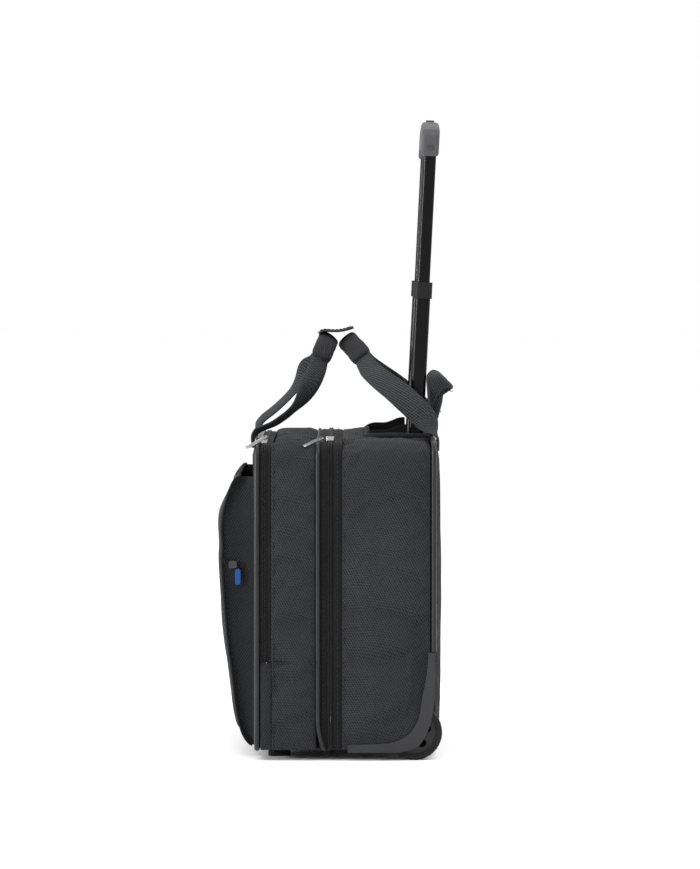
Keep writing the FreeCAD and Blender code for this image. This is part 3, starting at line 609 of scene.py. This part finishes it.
def zipper_band(name, x_low, x_high, base, top, body, replaced, inset=1.6 * MM):
    surface = wrap_surface(x_low, x_high, 0.0, arch_length(base, top), base, top, inset)
    piece = padded_sheet(name, surface, 4, 150, 1.2 * MM, puff=0.5 * MM, fold=0.35 * MM)
    finish_piece(piece, body, "tape", replaced)


def main_zipper():
    base = BOTTOM + 1 * MM
    top = REAR_TOP - 0.4 * MM
    zipper_band("rear_zip_tape", SPLIT + 0.2 * MM, BAND_REAR + 0.6 * MM, base, top, "case",
                ("rear_zip_band",))
    zipper_band("front_zip_tape", CORD_REAR - 1 * MM, SPLIT - 0.2 * MM, base, top, "front_half",
                ("front_zip_band",))
    samples = arch_samples(SPLIT, base, top, -1.0 * MM)
    zipper_row("main_coil_rear", samples, "case", 1)
    zipper_row("main_coil_front", samples, "front_half", -1)
    for offset, body in ((8.4 * MM, "case"), (-7.6 * MM, "front_half")):
        stitch(f"main_tape_stitch_{body}", arch_samples(SPLIT + offset, base, top, -0.9 * MM), body)

    def cord_x(z):
        """The cord runs straight, then swings back towards the zipper at the bottom."""
        drop = max(0.0, 1 - (z - BOTTOM) / (34 * MM))
        return (CORD_FRONT + CORD_REAR) / 2 + 7 * MM * drop ** 2

    samples = arch_samples(cord_x, BOTTOM + 1 * MM, FRONT_TOP, 0.6 * MM, drop=top_sag)
    tube_along("middle_cord", [p for p, n in samples], 2.5 * MM, "front_half", "cord",
               replaced=("middle_piping",), sides=3)
    ridges = []
    for point, along, across, outward in even_steps(samples, 3.4 * MM):
        lean = (along + across * 0.8).normalized()
        side = outward.cross(lean).normalized()
        ridges.append((point + outward * 2.0 * MM, lean, side, outward, (1.9 * MM, 0.5 * MM, 0.7 * MM)))
    bricks("middle_cord_twist", ridges, "front_half", "cord")


# ---- front half --------------------------------------------------------------------------------
def front_shell():
    base = BOTTOM + 0.5 * MM
    whole = arch_length(base, FRONT_TOP)
    surface = wrap_surface(LID_ZIP_REAR, CORD_FRONT + 1 * MM, 0, whole, base, FRONT_TOP, sag=top_sag)
    piece = padded_sheet("front_skin", surface, 14, 230, 3 * MM, puff=2.4 * MM, fold=1.2 * MM, swell=4.0,
                         cap=6 * MM)
    replaced = ("front_side_left", "front_side_right", "front_top_panel")
    finish_piece(piece, "front_half", "body", replaced)
    for side, name in SIDES:
        surface = flat_surface((LID_REAR + 1 * MM, side * HALF, base), (LID_ZIP_REAR - LID_REAR, 0, 0),
                               (0, 0, LID_ZIP_END - base), (0, side, 0))
        piece = padded_sheet(f"lower_gusset_{name}", surface, 5, 26, 3 * MM, puff=1.6 * MM, fold=1.0 * MM)
        finish_piece(piece, None, "lower")
        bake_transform(piece)
        seam = []
        for i in range(13):
            x = LID_ZIP_REAR - 1 * MM + (CORD_FRONT - LID_ZIP_REAR) * i / 12
            seam.append((Vector((x, side * (HALF + 3.4 * MM), LID_ZIP_END)), Vector((0, side, 0))))
        tube_along(f"side_seam_{name}", [p for p, n in seam], 0.9 * MM, "front_half", "lower")
        stitch(f"side_seam_stitch_{name}", [(p + Vector((0, 0, 3 * MM)), n) for p, n in seam], "front_half")
    for name, x in (("front", LID_ZIP_REAR + 2.4 * MM), ("rear", CORD_FRONT - 3 * MM)):
        samples = arch_samples(x, base, FRONT_TOP, 1.0 * MM, drop=top_sag)
        stitch(f"front_shell_stitch_{name}", samples, "front_half")


def lid_zipper():
    base = LID_ZIP_END
    zipper_band("lid_tape_inner", LID_ZIP + 0.2 * MM, LID_ZIP_REAR + 0.8 * MM, base, FRONT_TOP, "front_half",
                ("lid_tape_rear",), inset=1.4 * MM)
    zipper_band("lid_tape_outer", LID_REAR - 0.6 * MM, LID_ZIP - 0.2 * MM, base, FRONT_TOP, "front_lid",
                ("lid_tape_front",), inset=1.4 * MM)
    samples = arch_samples(LID_ZIP, base, FRONT_TOP, -1.0 * MM)
    zipper_row("lid_coil_rear", samples, "front_half", 1)
    zipper_row("lid_coil_front", samples, "front_lid", -1)


def ring_samples(x, inset, outward):
    """Closed outline of the front face, inset from its edge."""
    half = HALF - inset
    top = FRONT_TOP - inset
    base = BOTTOM + inset
    turn = max(EDGE_RADIUS - inset, 2 * MM)
    corners = ((half - turn, top - turn, 0), (-half + turn, top - turn, 90), (-half + turn, base + turn, 180),
               (half - turn, base + turn, 270))
    points = []
    for y, z, start in corners:
        for i in range(7):
            angle = math.radians(start + 15 * i)
            points.append(Vector((x, y + turn * math.cos(angle), z + turn * math.sin(angle))))
    points.append(points[0])
    return [(p, outward) for p in points]


def front_panel():
    inset = 4 * MM
    face = FRONT_FACE + 0.6 * MM
    surface = flat_surface((face, HALF - inset, BOTTOM + inset), (0, -2 * (HALF - inset), 0),
                           (0, 0, FRONT_TOP - BOTTOM - 2 * inset), (-1, 0, 0))

    def keep(u, v):
        y = abs(2 * u - 1) * (HALF - inset)
        z = BOTTOM + inset + v * (FRONT_TOP - BOTTOM - 2 * inset)
        z = max(z, BOTTOM + FRONT_TOP - z)
        far = math.hypot(max(0, y - HALF + EDGE_RADIUS), max(0, z - FRONT_TOP + EDGE_RADIUS))
        return far < EDGE_RADIUS - inset + 2 * MM

    piece = padded_sheet("front_skin_panel", surface, 72, 54, 4 * MM, puff=1.6 * MM, fold=0.8 * MM, keep=keep)
    finish_piece(piece, "front_lid", "body", ("front_panel",))
    ring = ring_samples(FRONT_FACE + 2.6 * MM, 1.2 * MM, Vector((-1, 0, 0)))
    tube_along("front_cord", [p for p, n in ring[:-1]], 3.0 * MM, "front_lid", "cord", closed=True,
               replaced=("front_piping",), sides=3)
    stitch("front_edge_stitch", ring_samples(FRONT_FACE - 0.4 * MM, 8 * MM, Vector((-1, 0, 0))), "front_lid")


def smooth_path(points, per_span=8):
    """Catmull-Rom curve through the points."""
    ends = [points[0] * 2 - points[1]] + list(points) + [points[-1] * 2 - points[-2]]
    path = []
    for a, b, c, d in zip(ends, ends[1:], ends[2:], ends[3:]):
        for i in range(per_span):
            t = i / per_span
            path.append(0.5 * ((2 * b) + (c - a) * t + (2 * a - 5 * b + 4 * c - d) * t * t
                               + (3 * b - a - 3 * c + d) * t ** 3))
    path.append(points[-1])
    return path


def at(path, share):
    place = min(max(share, 0.0), 1.0) * (len(path) - 1)
    first = min(int(place), len(path) - 2)
    return path[first].lerp(path[first + 1], place - first)


def pocket_profile():
    """Side outline of the front pocket, from its lip down to its foot, as a smooth path in X and Z."""
    back = FRONT_FACE - 1 * MM
    front = low("pocket_front", 0) + 2 * MM
    foot, lip = low("pocket_front", 2), high("pocket_front", 2)
    shape = ((0.5, 0.962), (0.66, 0.94), (0.8, 0.9), (0.93, 0.845), (1.0, 0.78), (0.975, 0.71),
             (0.995, 0.655), (0.95, 0.565), (0.87, 0.445), (0.79, 0.35), (0.68, 0.26), (0.57, 0.15),
             (0.46, 0.08), (0.33, 0.035), (0.16, 0.008), (0.02, 0.0))
    return smooth_path([Vector((back + (front - back) * depth, 0, foot + (lip - foot) * rise))
                        for depth, rise in shape], 6)


def front_pocket():
    profile = pocket_profile()
    half = high("pocket_front", 1)
    foot, lip = low("pocket_front", 2), high("pocket_front", 2)

    def outward_at(v):
        run = at(profile, v + 0.01) - at(profile, v - 0.01)
        return Vector((run.z, 0, -run.x)).normalized()

    def surface(u, v):
        """The sheet narrows a little at its side seams and bellies between them."""
        point = at(profile, v).copy()
        outward = outward_at(v)
        across = 2 * u - 1
        point.y = half * across
        belly = (1 - abs(across) ** 3.0)
        point = point + outward * (1.6 * MM * belly - 1.4 * MM)
        return point, outward

    piece = padded_sheet("pocket_sheet", surface, 60, 58, 2.2 * MM, puff=1.4 * MM, fold=1.5 * MM, swell=3.0,
                         cap=5 * MM)
    finish_piece(piece, "front_lid", "body", ("pocket_front",))
    for side, name in SIDES:

        def gusset(u, v, side=side):
            """Side wall that folds in between the sheet's edge and the front panel."""
            edge = at(profile, 0.99 * v)
            base = Vector((FRONT_FACE, 0, min(edge.z, foot + (lip - foot) * 0.965)))
            point = edge.lerp(base, u)
            fold = math.sin(math.pi * u) * 4 * MM * (1 - v * 0.5)
            point.y = side * (half - 0.6 * MM - fold)
            return point, Vector((0, side, 0))

        piece = padded_sheet(f"pocket_side_{name}", gusset, 10, 60, 1.6 * MM, puff=0.6 * MM, fold=0.8 * MM)
        replaced = ("pocket_gussets",) if side < 0 else ()
        finish_piece(piece, "front_lid", "lower", replaced)
        edge_path = []
        for i in range(80):
            point = at(profile, 0.01 + 0.97 * i / 79).copy()
            point.y = side * (half - 0.4 * MM)
            edge_path.append(point)
        tube_along(f"pocket_binding_{name}", edge_path, 1.7 * MM, "front_lid", "tape")
        samples = []
        for i in range(80):
            share = 0.02 + 0.95 * i / 79
            point, outward = surface(0.5 + side * 0.485, share)
            samples.append((point + outward * 1.4 * MM, outward))
        stitch(f"pocket_stitch_{name}", samples, "front_lid")
    lip_path = []
    for i in range(61):
        point, outward = surface(i / 60, 0.0)
        lip_path.append(point + Vector((-0.4 * MM * math.sin(i * 0.7), 0, crumple(point, 1.0 * MM))))
    tube_along("pocket_lip_binding", lip_path, 2.1 * MM, "front_lid", "tape")
    stitch("pocket_lip_stitch", row_across(surface, 0.055, 1.5 * MM), "front_lid")
    pocket_zip(profile, surface, half)


def row_across(surface, share, lift):
    """Points across a sheet at one share of its height, raised off it."""
    samples = []
    for i in range(61):
        point, outward = surface(i / 60, share)
        samples.append((point + outward * lift, outward))
    return samples


def coil_row(name, samples, broad, tall):
    """A narrow zipper coil along the samples."""
    places = [(point, along, across, outward, (0.62 * MM, broad, tall))
              for point, along, across, outward in even_steps(samples, 2.2 * MM)]
    bricks(name, places, "front_lid", "coil")


def share_at_height(profile, height):
    return min(range(len(profile)), key=lambda i: abs(profile[i].z - height)) / (len(profile) - 1)


def pocket_zip(profile, surface, half):
    """Zipper across the sheet that turns the corner and runs a little way down the side wall."""
    height = (low("pocket_zip", 2) + high("pocket_zip", 2)) / 2
    share = share_at_height(profile, height)

    def band(u, v):
        point, outward = surface(u, share + (v - 0.5) * 0.042)
        return point + outward * 1.1 * MM, outward

    piece = padded_sheet("pocket_zip_tape", band, 60, 4, 1.0 * MM, puff=0.5 * MM, fold=0.3 * MM)
    finish_piece(piece, "front_lid", "tape", ("pocket_zip",))
    coil_row("pocket_zip_coil", row_across(surface, share, 2.4 * MM), 2.6 * MM, 0.8 * MM)
    for name, offset in (("upper", -0.031), ("lower", 0.031)):
        stitch(f"pocket_zip_stitch_{name}", row_across(surface, share + offset, 1.6 * MM), "front_lid")
    slider_x = (low("pocket_slider", 0) + high("pocket_slider", 0)) / 2
    slider_z = (low("pocket_slider", 2) + high("pocket_slider", 2)) / 2
    front_x = at(profile, share).x
    side_run = ((front_x + 1 * MM, height), (slider_x - 3 * MM, slider_z + 2 * MM),
                (slider_x + 5 * MM, slider_z - 2 * MM), (slider_x + 9 * MM, slider_z - 12 * MM))
    for side, name in SIDES:
        path = smooth_path([Vector((x, side * (half + 0.5 * MM), z)) for x, z in side_run], 6)
        coil_row(f"pocket_zip_end_{name}", [(p, Vector((0, side, 0))) for p in path], 2.4 * MM, 0.7 * MM)


# ---- inside ------------------------------------------------------------------------------------
def inner_sheet(name, node, side, body, rows):
    """Lining sheet over one face of a thin board: side is -1 for its front face, 1 for its rear face."""
    (x0, y0, z0), (x1, y1, z1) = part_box(node)
    gap = 0.4 * MM
    corner = (x1 if side > 0 else x0, y0 + gap, z0 + gap)
    surface = flat_surface(corner, (0, y1 - y0 - 2 * gap, 0), (0, 0, z1 - z0 - 2 * gap), (side, 0, 0))
    piece = padded_sheet(name, surface, 50, rows, x1 - x0, puff=1.2 * MM, fold=0.5 * MM)
    finish_piece(piece, body, "lining", (node,))


def insides():
    inner_sheet("lining_skin", "rear_lining", -1, "case", 34)
    inner_sheet("divider_skin", "inner_divider", 1, "front_half", 36)
    (x0, y0, z0), (x1, y1, z1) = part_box("laptop_sleeve")
    surface = flat_surface((x0, y1, z0), (0, y0 - y1, 0), (0, 0, z1 - z0), (-1, 0, 0))
    piece = padded_sheet("sleeve_front", surface, 48, 32, 3 * MM, puff=1.2 * MM, fold=0.6 * MM)
    finish_piece(piece, "case", "lining", ("laptop_sleeve",))
    for (sign, side), y in zip(SIDES, (y0, y1)):
        surface = flat_surface((x0 + 3 * MM, y, z0), (x1 - x0 - 3.4 * MM, 0, 0), (0, 0, z1 - z0),
                               (0, sign, 0))
        piece = padded_sheet(f"sleeve_side_{side}", surface, 5, 30, 2.6 * MM, puff=0.5 * MM, fold=0.5 * MM)
        finish_piece(piece, "case", "lining")
    edge = [Vector((x0 + 1 * MM, y0 + (y1 - y0) * i / 40, z1 + 0.4 * MM)) for i in range(41)]
    tube_along("sleeve_binding", edge, 2.0 * MM, "case", "tape")


def bottoms():
    (x0, y0, z0), (x1, y1, z1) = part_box("front_bottom_panel")
    surface = flat_surface((x0, y1, z0), (x1 - x0, 0, 0), (0, y0 - y1, 0), (0, 0, -1))
    piece = padded_sheet("front_bottom_skin", surface, 14, 60, 4 * MM, puff=0.8 * MM, fold=0.5 * MM)
    finish_piece(piece, "front_half", "body", ("front_bottom_panel",))
    (x0, y0, z0), (x1, y1, z1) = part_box("rear_bottom_panel")
    wheel_front = low("wheel_housings", 0)
    wheel_side = high("back_panel", 1) - 31 * MM
    surface = flat_surface((x0, y1, z0), (x1 - x0, 0, 0), (0, y0 - y1, 0), (0, 0, -1))

    def keep(u, v):
        return x0 + u * (x1 - x0) < wheel_front or abs(y1 + v * (y0 - y1)) < wheel_side

    piece = padded_sheet("rear_bottom_skin", surface, 26, 70, 4 * MM, puff=0.8 * MM, fold=0.5 * MM, keep=keep)
    finish_piece(piece, "case", "body", ("rear_bottom_panel",))


# ---- recess lip and cover flap -----------------------------------------------------------------
def recess_lip():
    (x0, y0, z0), (x1, y1, z1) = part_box("recess_lip")
    radius = 9 * MM
    thick = (z1 - z0) * 0.62
    path = []
    for x, y, start in ((x1 - radius, y1 - radius, 0), (x0 + radius, y1 - radius, 90),
                        (x0 + radius, y0 + radius, 180), (x1 - radius, y0 + radius, 270)):
        for i in range(7):
            angle = math.radians(start + 15 * i)
            out = Vector((math.cos(angle), math.sin(angle), 0)) * (radius - thick)
            path.append(Vector((x, y, z0 + thick * 0.75)) + out)
    dense = []
    for one, two in zip(path, path[1:] + path[:1]):
        count = max(1, int((two - one).length / (8 * MM)))
        dense += [one.lerp(two, i / count) for i in range(count)]
    dense = [p + Vector((0, 0, crumple(p, 0.7 * MM, 0.04))) for p in dense]
    tube_along("recess_binding", dense, thick, "case", "sleeve", closed=True,
               replaced=("recess_lip",), sides=4)


def cover_flap():
    """Padded cover standing behind the recess: stiff at its seam, its free edge rolled to the rear."""
    (x0, y0, z0), (x1, y1, z1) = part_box("top_flap")
    deep, tall = x1 - x0, z1 - z0
    shape = ((0.1, 0.0), (0.1, 0.2), (0.08, 0.44), (0.04, 0.67), (0.0, 0.85), (0.06, 0.95), (0.26, 1.0),
             (0.5, 0.98), (0.7, 0.92), (0.9, 0.86), (1.0, 0.8), (0.92, 0.76), (0.66, 0.76), (0.56, 0.54),
             (0.42, 0.31), (0.3, 0.15), (0.24, 0.0))
    corners = [Vector((x0 + deep * a, 0, z0 + tall * b)) for a, b in shape]
    loop = smooth_path(corners, 4)
    middle = sum(loop, Vector()) / len(loop)
    rings = []
    rows = 72
    for i in range(rows + 1):
        share = i / rows
        y = y0 + (y1 - y0) * share
        close = 1 - 0.22 * abs(2 * share - 1) ** 30
        ring = []
        for point in loop:
            place = middle.lerp(point, close)
            place.y = y
            height = (place.z - z0) / tall
            swing = math.sin(7 * share + 1) * 1.3 * MM * height
            rise = crumple(place, 1.2 * MM, 0.06) * height
            ring.append(place + Vector((swing + crumple(place, 1.3 * MM, 0.04), 0, rise)))
        rings.append(ring)
    piece = swept_piece("cover_flap", rings)
    add_softness(piece)
    finish_piece(piece, "top_flap", "body", ("top_flap",))
    edge = smooth_path([Vector((x0 + deep * a, 0, z0 + tall * b)) for a, b in
                        ((0.0, 0.4), (0.2, 0.56), (0.46, 0.72), (0.74, 0.79), (0.97, 0.78))], 6)
    for side, y, sign in (("left", y0, -1), ("right", y1, 1)):
        out = Vector((0, sign, 0))
        path = [Vector((p.x, y + sign * 0.4 * MM, p.z)) for p in edge]
        tube_along(f"cover_flap_edge_{side}", path, 1.5 * MM, "top_flap", "body")
        inward = Vector((1.2 * MM, 0, -3.2 * MM))
        stitch(f"cover_flap_end_{side}", [(p + inward + out * 0.4 * MM, out) for p in path], "top_flap",
               pitch=3.8 * MM)
    hem = []
    for i in range(41):
        y = y0 + (y1 - y0) * (0.03 + 0.94 * i / 40)
        hem.append((Vector((x0 + deep * 0.5, y, z0 + tall * 0.4)), Vector((1, 0, 0))))
    stitch("cover_flap_hem", hem, "top_flap")


def cover_gussets():
    """Thin lining webs that join the raised cover to the front edge of the recess."""
    (x0, y0, z0), (x1, y1, z1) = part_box("recess_lip")
    for (sign, side), y in zip(SIDES, (y0 + 8 * MM, y1 - 8 * MM)):
        foot_z = z0 - 8 * MM

        def surface(u, v, y=y, sign=sign, foot_z=foot_z):
            x = x0 + 2 * MM + (x1 - x0) * 0.62 * u
            top = z1 + (0.5 + 9 * u ** 0.9 + 1.3 * math.sin(9 * u)) * MM
            z = foot_z + (top - foot_z) * v
            wave = math.sin(11 * u + 2 * v) * 1.4 * MM * v
            return Vector((x, y + wave, z)), Vector((0, sign, 0))

        piece = padded_sheet(f"cover_gusset_{side}", surface, 24, 10, 1.2 * MM, puff=0.3 * MM, fold=0.5 * MM)
        finish_piece(piece, "case", "lining")


# ---- carry handles -----------------------------------------------------------------------------
def strap(name, stations, thick, body, replaced=()):
    """Flat webbing along (point, width direction, width) stations, with rounded edges and a slight curl."""
    outline = ((-1.0, 0.0), (-0.93, 0.75), (-0.5, 1.0), (0.0, 1.0), (0.5, 1.0), (0.93, 0.75),
               (1.0, 0.0), (0.93, -0.75), (0.5, -1.0), (0.0, -1.0), (-0.5, -1.0), (-0.93, -0.75))
    rings = []
    last = len(stations) - 1
    for i, (point, wide, width) in enumerate(stations):
        ahead = (stations[min(i + 1, last)][0] - stations[max(i - 1, 0)][0]).normalized()
        wide = (wide - ahead * wide.dot(ahead)).normalized()
        thin = ahead.cross(wide)
        ring = []
        for a, b in outline:
            side = wide * (a * width / 2)
            curl = 0.9 * MM * a * a + crumple(point + side, 0.35 * MM, 0.02)
            ring.append(point + side + thin * (b * thick / 2 + curl))
        rings.append(ring)
    return finish_piece(swept_piece(name, rings), body, "webbing", replaced)


def handle_sleeve(name, bow, wide, half_wide, half_thick, body, replaced):
    """Wrapped hand grip: a soft flattened roll bowed over the top of the loop, with creases round it."""
    path = smooth_path(bow, 6)
    last = len(path) - 1
    turn = 28
    rings, seam = [], []
    for i, point in enumerate(path):
        ahead = (path[min(i + 1, last)] - path[max(i - 1, 0)]).normalized()
        across = (wide - ahead * wide.dot(ahead)).normalized()
        thin = ahead.cross(across)
        share = i / last
        close = 1 - 0.3 * abs(2 * share - 1) ** 16
        ring = []
        for j in range(turn):
            angle = 2 * math.pi * j / turn
            c, s = math.cos(angle), math.sin(angle)
            a = math.copysign(abs(c) ** 0.75, c) * half_wide * close
            b = math.copysign(abs(s) ** 0.75, s) * half_thick * close
            place = point + across * a + thin * b
            push = crumple(place, 0.7 * MM, 0.018) + 0.25 * MM * math.sin(place.y / (3.1 * MM) + 2 * angle)
            ring.append(place + (across * c + thin * s) * push)
        rings.append(ring)
        if 2 < i < last - 2:
            seam.append((point + thin * (half_thick + 0.3 * MM) + across * 3 * MM, thin))
    piece = swept_piece(name, rings)
    finish_piece(piece, body, "sleeve", replaced)
    stitch(f"{name}_stitch", seam, body)


def carry_handle(name, body, anchor_body, lean, legs, bow, turns):
    """One loop: two twisted straps from their sewn anchors to the grip that is wrapped round them."""
    wide = Vector((math.cos(lean), 0, -math.sin(lean)))
    for (side, tag), leg in zip(SIDES, legs):
        path = smooth_path([Vector((x, side * y, z)) * MM for x, y, z in leg], 6)
        last = len(path) - 1
        stations = []
        for i, point in enumerate(path):
            station = i * (len(leg) - 1) / last
            twist = min(1.0, max(0.0, (station - turns[0]) / (turns[1] - turns[0])))
            twist = twist * twist * (3 - 2 * twist)
            tilt = turns[2] * min(1.0, station / 2)
            turned = math.radians(tilt + (90 - tilt) * twist)
            direction = Vector((0, -side * math.cos(turned), 0)) + wide * math.sin(turned)
            taper = max(0.0, 2 * i / last - 1)
            stations.append((point, direction, (28 - 9 * taper) * MM))
        replaced = (f"{name}_webbing",) if side < 0 else ()
        strap(f"{name}_strap_{tag}", stations, 2.6 * MM, body, replaced)
    rounded = [Vector((x, -y, z)) * MM for x, y, z in bow]
    rounded += [Vector((x, y, z)) * MM for x, y, z in bow[-2::-1]]
    handle_sleeve(f"{name}_grip_wrap", rounded, wide, 11.4 * MM, 5.9 * MM, body, (f"{name}_sleeve",))
    (x0, y0, z0), (x1, y1, z1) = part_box(f"{name}_anchors")
    outward = Vector((-1, 0, 0)) if name == "front" else Vector((1, 0, 0))
    face = x0 if name == "front" else x1
    wide_patch = 34 * MM
    for side, tag in SIDES:
        inner = side * (y1 - wide_patch)
        outer = side * y1
        start, span = (outer, inner - outer) if (side > 0) == (outward.x < 0) else (inner, outer - inner)
        surface = flat_surface((face, start, z0), (0, span, 0), (0, 0, z1 - z0 + 4 * MM), outward)
        piece = padded_sheet(f"{name}_anchor_{tag}", surface, 10, 16, x1 - x0 + 1 * MM, puff=0.5 * MM,
                             fold=0.3 * MM)
        finish_piece(piece, anchor_body, "webbing", (f"{name}_anchors",) if side < 0 else ())
        corners = [surface(a, b)[0] + outward * 0.9 * MM for a, b in
                   ((0.14, 0.1), (0.86, 0.1), (0.86, 0.8), (0.14, 0.8), (0.14, 0.1), (0.86, 0.8), (0.86, 0.1),
                    (0.14, 0.8))]
        stitch(f"{name}_anchor_stitch_{tag}", [(p, outward) for p in corners], anchor_body, pitch=4.2 * MM)


def carry_handles():
    """Leg and bow points are (X, distance from the middle, Z) in millimetres, as in the designed straps."""
    front_left = ((-91, 84, 333), (-91, 84, 343.5), (-87, 84, 350.5), (-78, 84, 354.5), (-66, 83.5, 360),
                  (-50, 82, 372), (-38, 79, 386), (-29, 74, 402), (-21.5, 68, 418.5), (-17.5, 60, 432))
    front_right = ((-91, 84, 333), (-91, 84, 346), (-89, 84, 353.5), (-83, 84, 361), (-70, 83, 371.5),
                   (-54, 81, 387), (-42, 77.5, 403), (-34, 73.5, 416), (-24, 67.5, 423), (-17.5, 60, 432))
    rear_leg = ((111, 147, 332), (110.8, 147, 345), (106.5, 147, 354), (98.5, 146, 365), (84, 142, 380),
                (66, 131, 396), (47, 112, 410.5), (36, 90, 420), (31.6, 73, 426), (28, 60, 432))
    front_bow = ((-18, 62, 430), (-16, 56, 434.6), (-13.6, 46, 440.6), (-11, 30, 446.6), (-9.4, 12, 450.3),
                 (-9, 0, 451))
    rear_bow = ((28.6, 62, 430.4), (26, 56, 434), (22, 46, 439), (16.5, 30, 445), (13.2, 12, 448.5),
                (12.5, 0, 449))
    carry_handle("front", "front_handle", "front_lid", math.radians(34), (front_left, front_right), front_bow,
                 (5, 8, 15))
    carry_handle("rear", "rear_handle", "case", math.radians(-40.8), (rear_leg, rear_leg), rear_bow,
                 (1, 4, 0))
    (x0, y0, z0), (x1, y1, z1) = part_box("handle_tab")
    deep, tall = x1 - x0, z1 - z0
    shape = ((0.02, 0.0), (0.1, 0.3), (0.22, 0.42), (0.42, 0.36), (0.62, 0.4), (0.8, 0.6), (0.98, 0.9))
    profile = smooth_path([Vector((x0 + deep * a, 0, z0 + tall * b)) for a, b in shape], 5)

    def surface(u, v):
        run = at(profile, v + 0.02) - at(profile, v - 0.02)
        outward = Vector((-run.z, 0, run.x)).normalized()
        point = at(profile, v).copy()
        point.y = y0 + (y1 - y0) * u
        return point + outward * (1.1 * MM * math.sin(5 * u) * v), outward

    piece = padded_sheet("wrap_tab", surface, 22, 28, 1.7 * MM, puff=0.5 * MM, fold=0.8 * MM)
    finish_piece(piece, "front_handle", "sleeve", ("handle_tab",))
    rim = [surface(0.1, 0.05 + 0.88 * i / 20) for i in range(21)]
    rim += [surface(0.1 + 0.8 * i / 12, 0.93) for i in range(1, 13)]
    rim += [surface(0.9, 0.93 - 0.88 * i / 20) for i in range(1, 21)]
    stitch("wrap_tab_stitch", [(p + n * 0.9 * MM, n) for p, n in rim], "front_handle", pitch=4.2 * MM)


# ---- hard parts carried over -------------------------------------------------------------------
def dress_hard_parts():
    dressing = {
        "tube": ("fixed_tubes", "outer_tubes", "inner_tubes"),
        "grip": ("grip_shell", "release_button"), "collar": ("outer_collars",),
        "guard": ("corner_guard_left", "corner_guard_right"),
        "cup": ("recess_cup", "tube_base", "wheel_housings"),
        "tyre": ("tyre_left", "tyre_right"), "hub": ("hub_left", "hub_right"),
        "steel": ("axles", "grip_screws"), "tag": ("pocket_tag",), "foot": ("feet",),
        "pull": tuple(f"{a}_{b}_{c}" for a in ("main", "lid") for b in ("slider", "pull") for c in (1, 2)),
        "slide": ("pocket_slider",)}
    rounding = {"corner_guard_left": 2.4, "corner_guard_right": 2.4, "grip_shell": 5.0, "outer_collars": 0.7,
                "release_button": 1.2, "feet": 2.0, "pocket_tag": 0.5, "recess_cup": 0.6, "hub_left": 0.8,
                "hub_right": 0.8}
    for material, names in dressing.items():
        for name in names:
            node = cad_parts[name]
            for place in node.material_slots:
                place.link = "OBJECT"
                place.material = MATERIALS[material]
            width = rounding.get(name, 0.5 if material == "pull" else 0.0)
            if width:
                bevel = node.modifiers.new("edge", "BEVEL")
                bevel.width = width * MM
                bevel.segments = 3
                bevel.limit_method = "ANGLE"
                bevel.angle_limit = math.radians(35)


# ---- floor, light and camera -------------------------------------------------------------------
CAMERA_PLACE = (0.015, -5.72, 0.55)
CAMERA_DOWN = math.radians(2.06)
LENS = 212
# name, place, what it points at, size and power
LIGHTS = (("edge_light", (-3.4, -1.9, 0.9), (0.09, -0.11, 0.5), 0.35, 110),
          ("key_light", (-2.2, -2.6, 2.9), (0, 0, 0.3), 1.8, 60),
          ("rim_light", (2.6, -1.2, 2.2), (0, 0, 0.35), 1.2, 40),
          ("top_light", (0.2, 0.4, 3.2), (0, 0, 0.3), 2.4, 60))


def studio():
    scene = bpy.context.scene
    scene.view_settings.view_transform = "Standard"
    bpy.ops.mesh.primitive_plane_add(size=60, location=(0, 0, 0))
    floor = bpy.context.object
    floor.name = "studio_floor"
    nodes = Nodes("studio_white")
    nodes.surface(Base_Color=(1.0, 1.0, 1.0, 1), Roughness=0.9)
    floor.data.materials.append(nodes.material)
    world = bpy.data.worlds.new("studio_world")
    scene.world = world
    world.use_nodes = True
    sky = world.node_tree.nodes["Background"]
    sky.inputs["Color"].default_value = (1, 1, 1, 1)
    sky.inputs["Strength"].default_value = 1.0
    for name, place, aim, size, power in LIGHTS:
        data = bpy.data.lights.new(name, "AREA")
        data.size = size
        data.energy = power
        light = bpy.data.objects.new(name, data)
        light.location = place
        light.rotation_euler = (Vector(aim) - Vector(place)).to_track_quat("-Z", "Y").to_euler()
        scene.collection.objects.link(light)
    data = bpy.data.cameras.new("view_camera")
    data.lens = LENS
    data.sensor_width = 36
    data.clip_end = 100
    camera = bpy.data.objects.new("view_camera", data)
    camera.location = CAMERA_PLACE
    camera.rotation_euler = (math.radians(90) - CAMERA_DOWN, 0, 0)
    scene.collection.objects.link(camera)
    scene.camera = camera


rear_wraps()
back_panel()
main_zipper()
front_shell()
lid_zipper()
front_panel()
front_pocket()
insides()
bottoms()
recess_lip()
cover_flap()
cover_gussets()
carry_handles()
run_cloth()
dress_hard_parts()
studio()
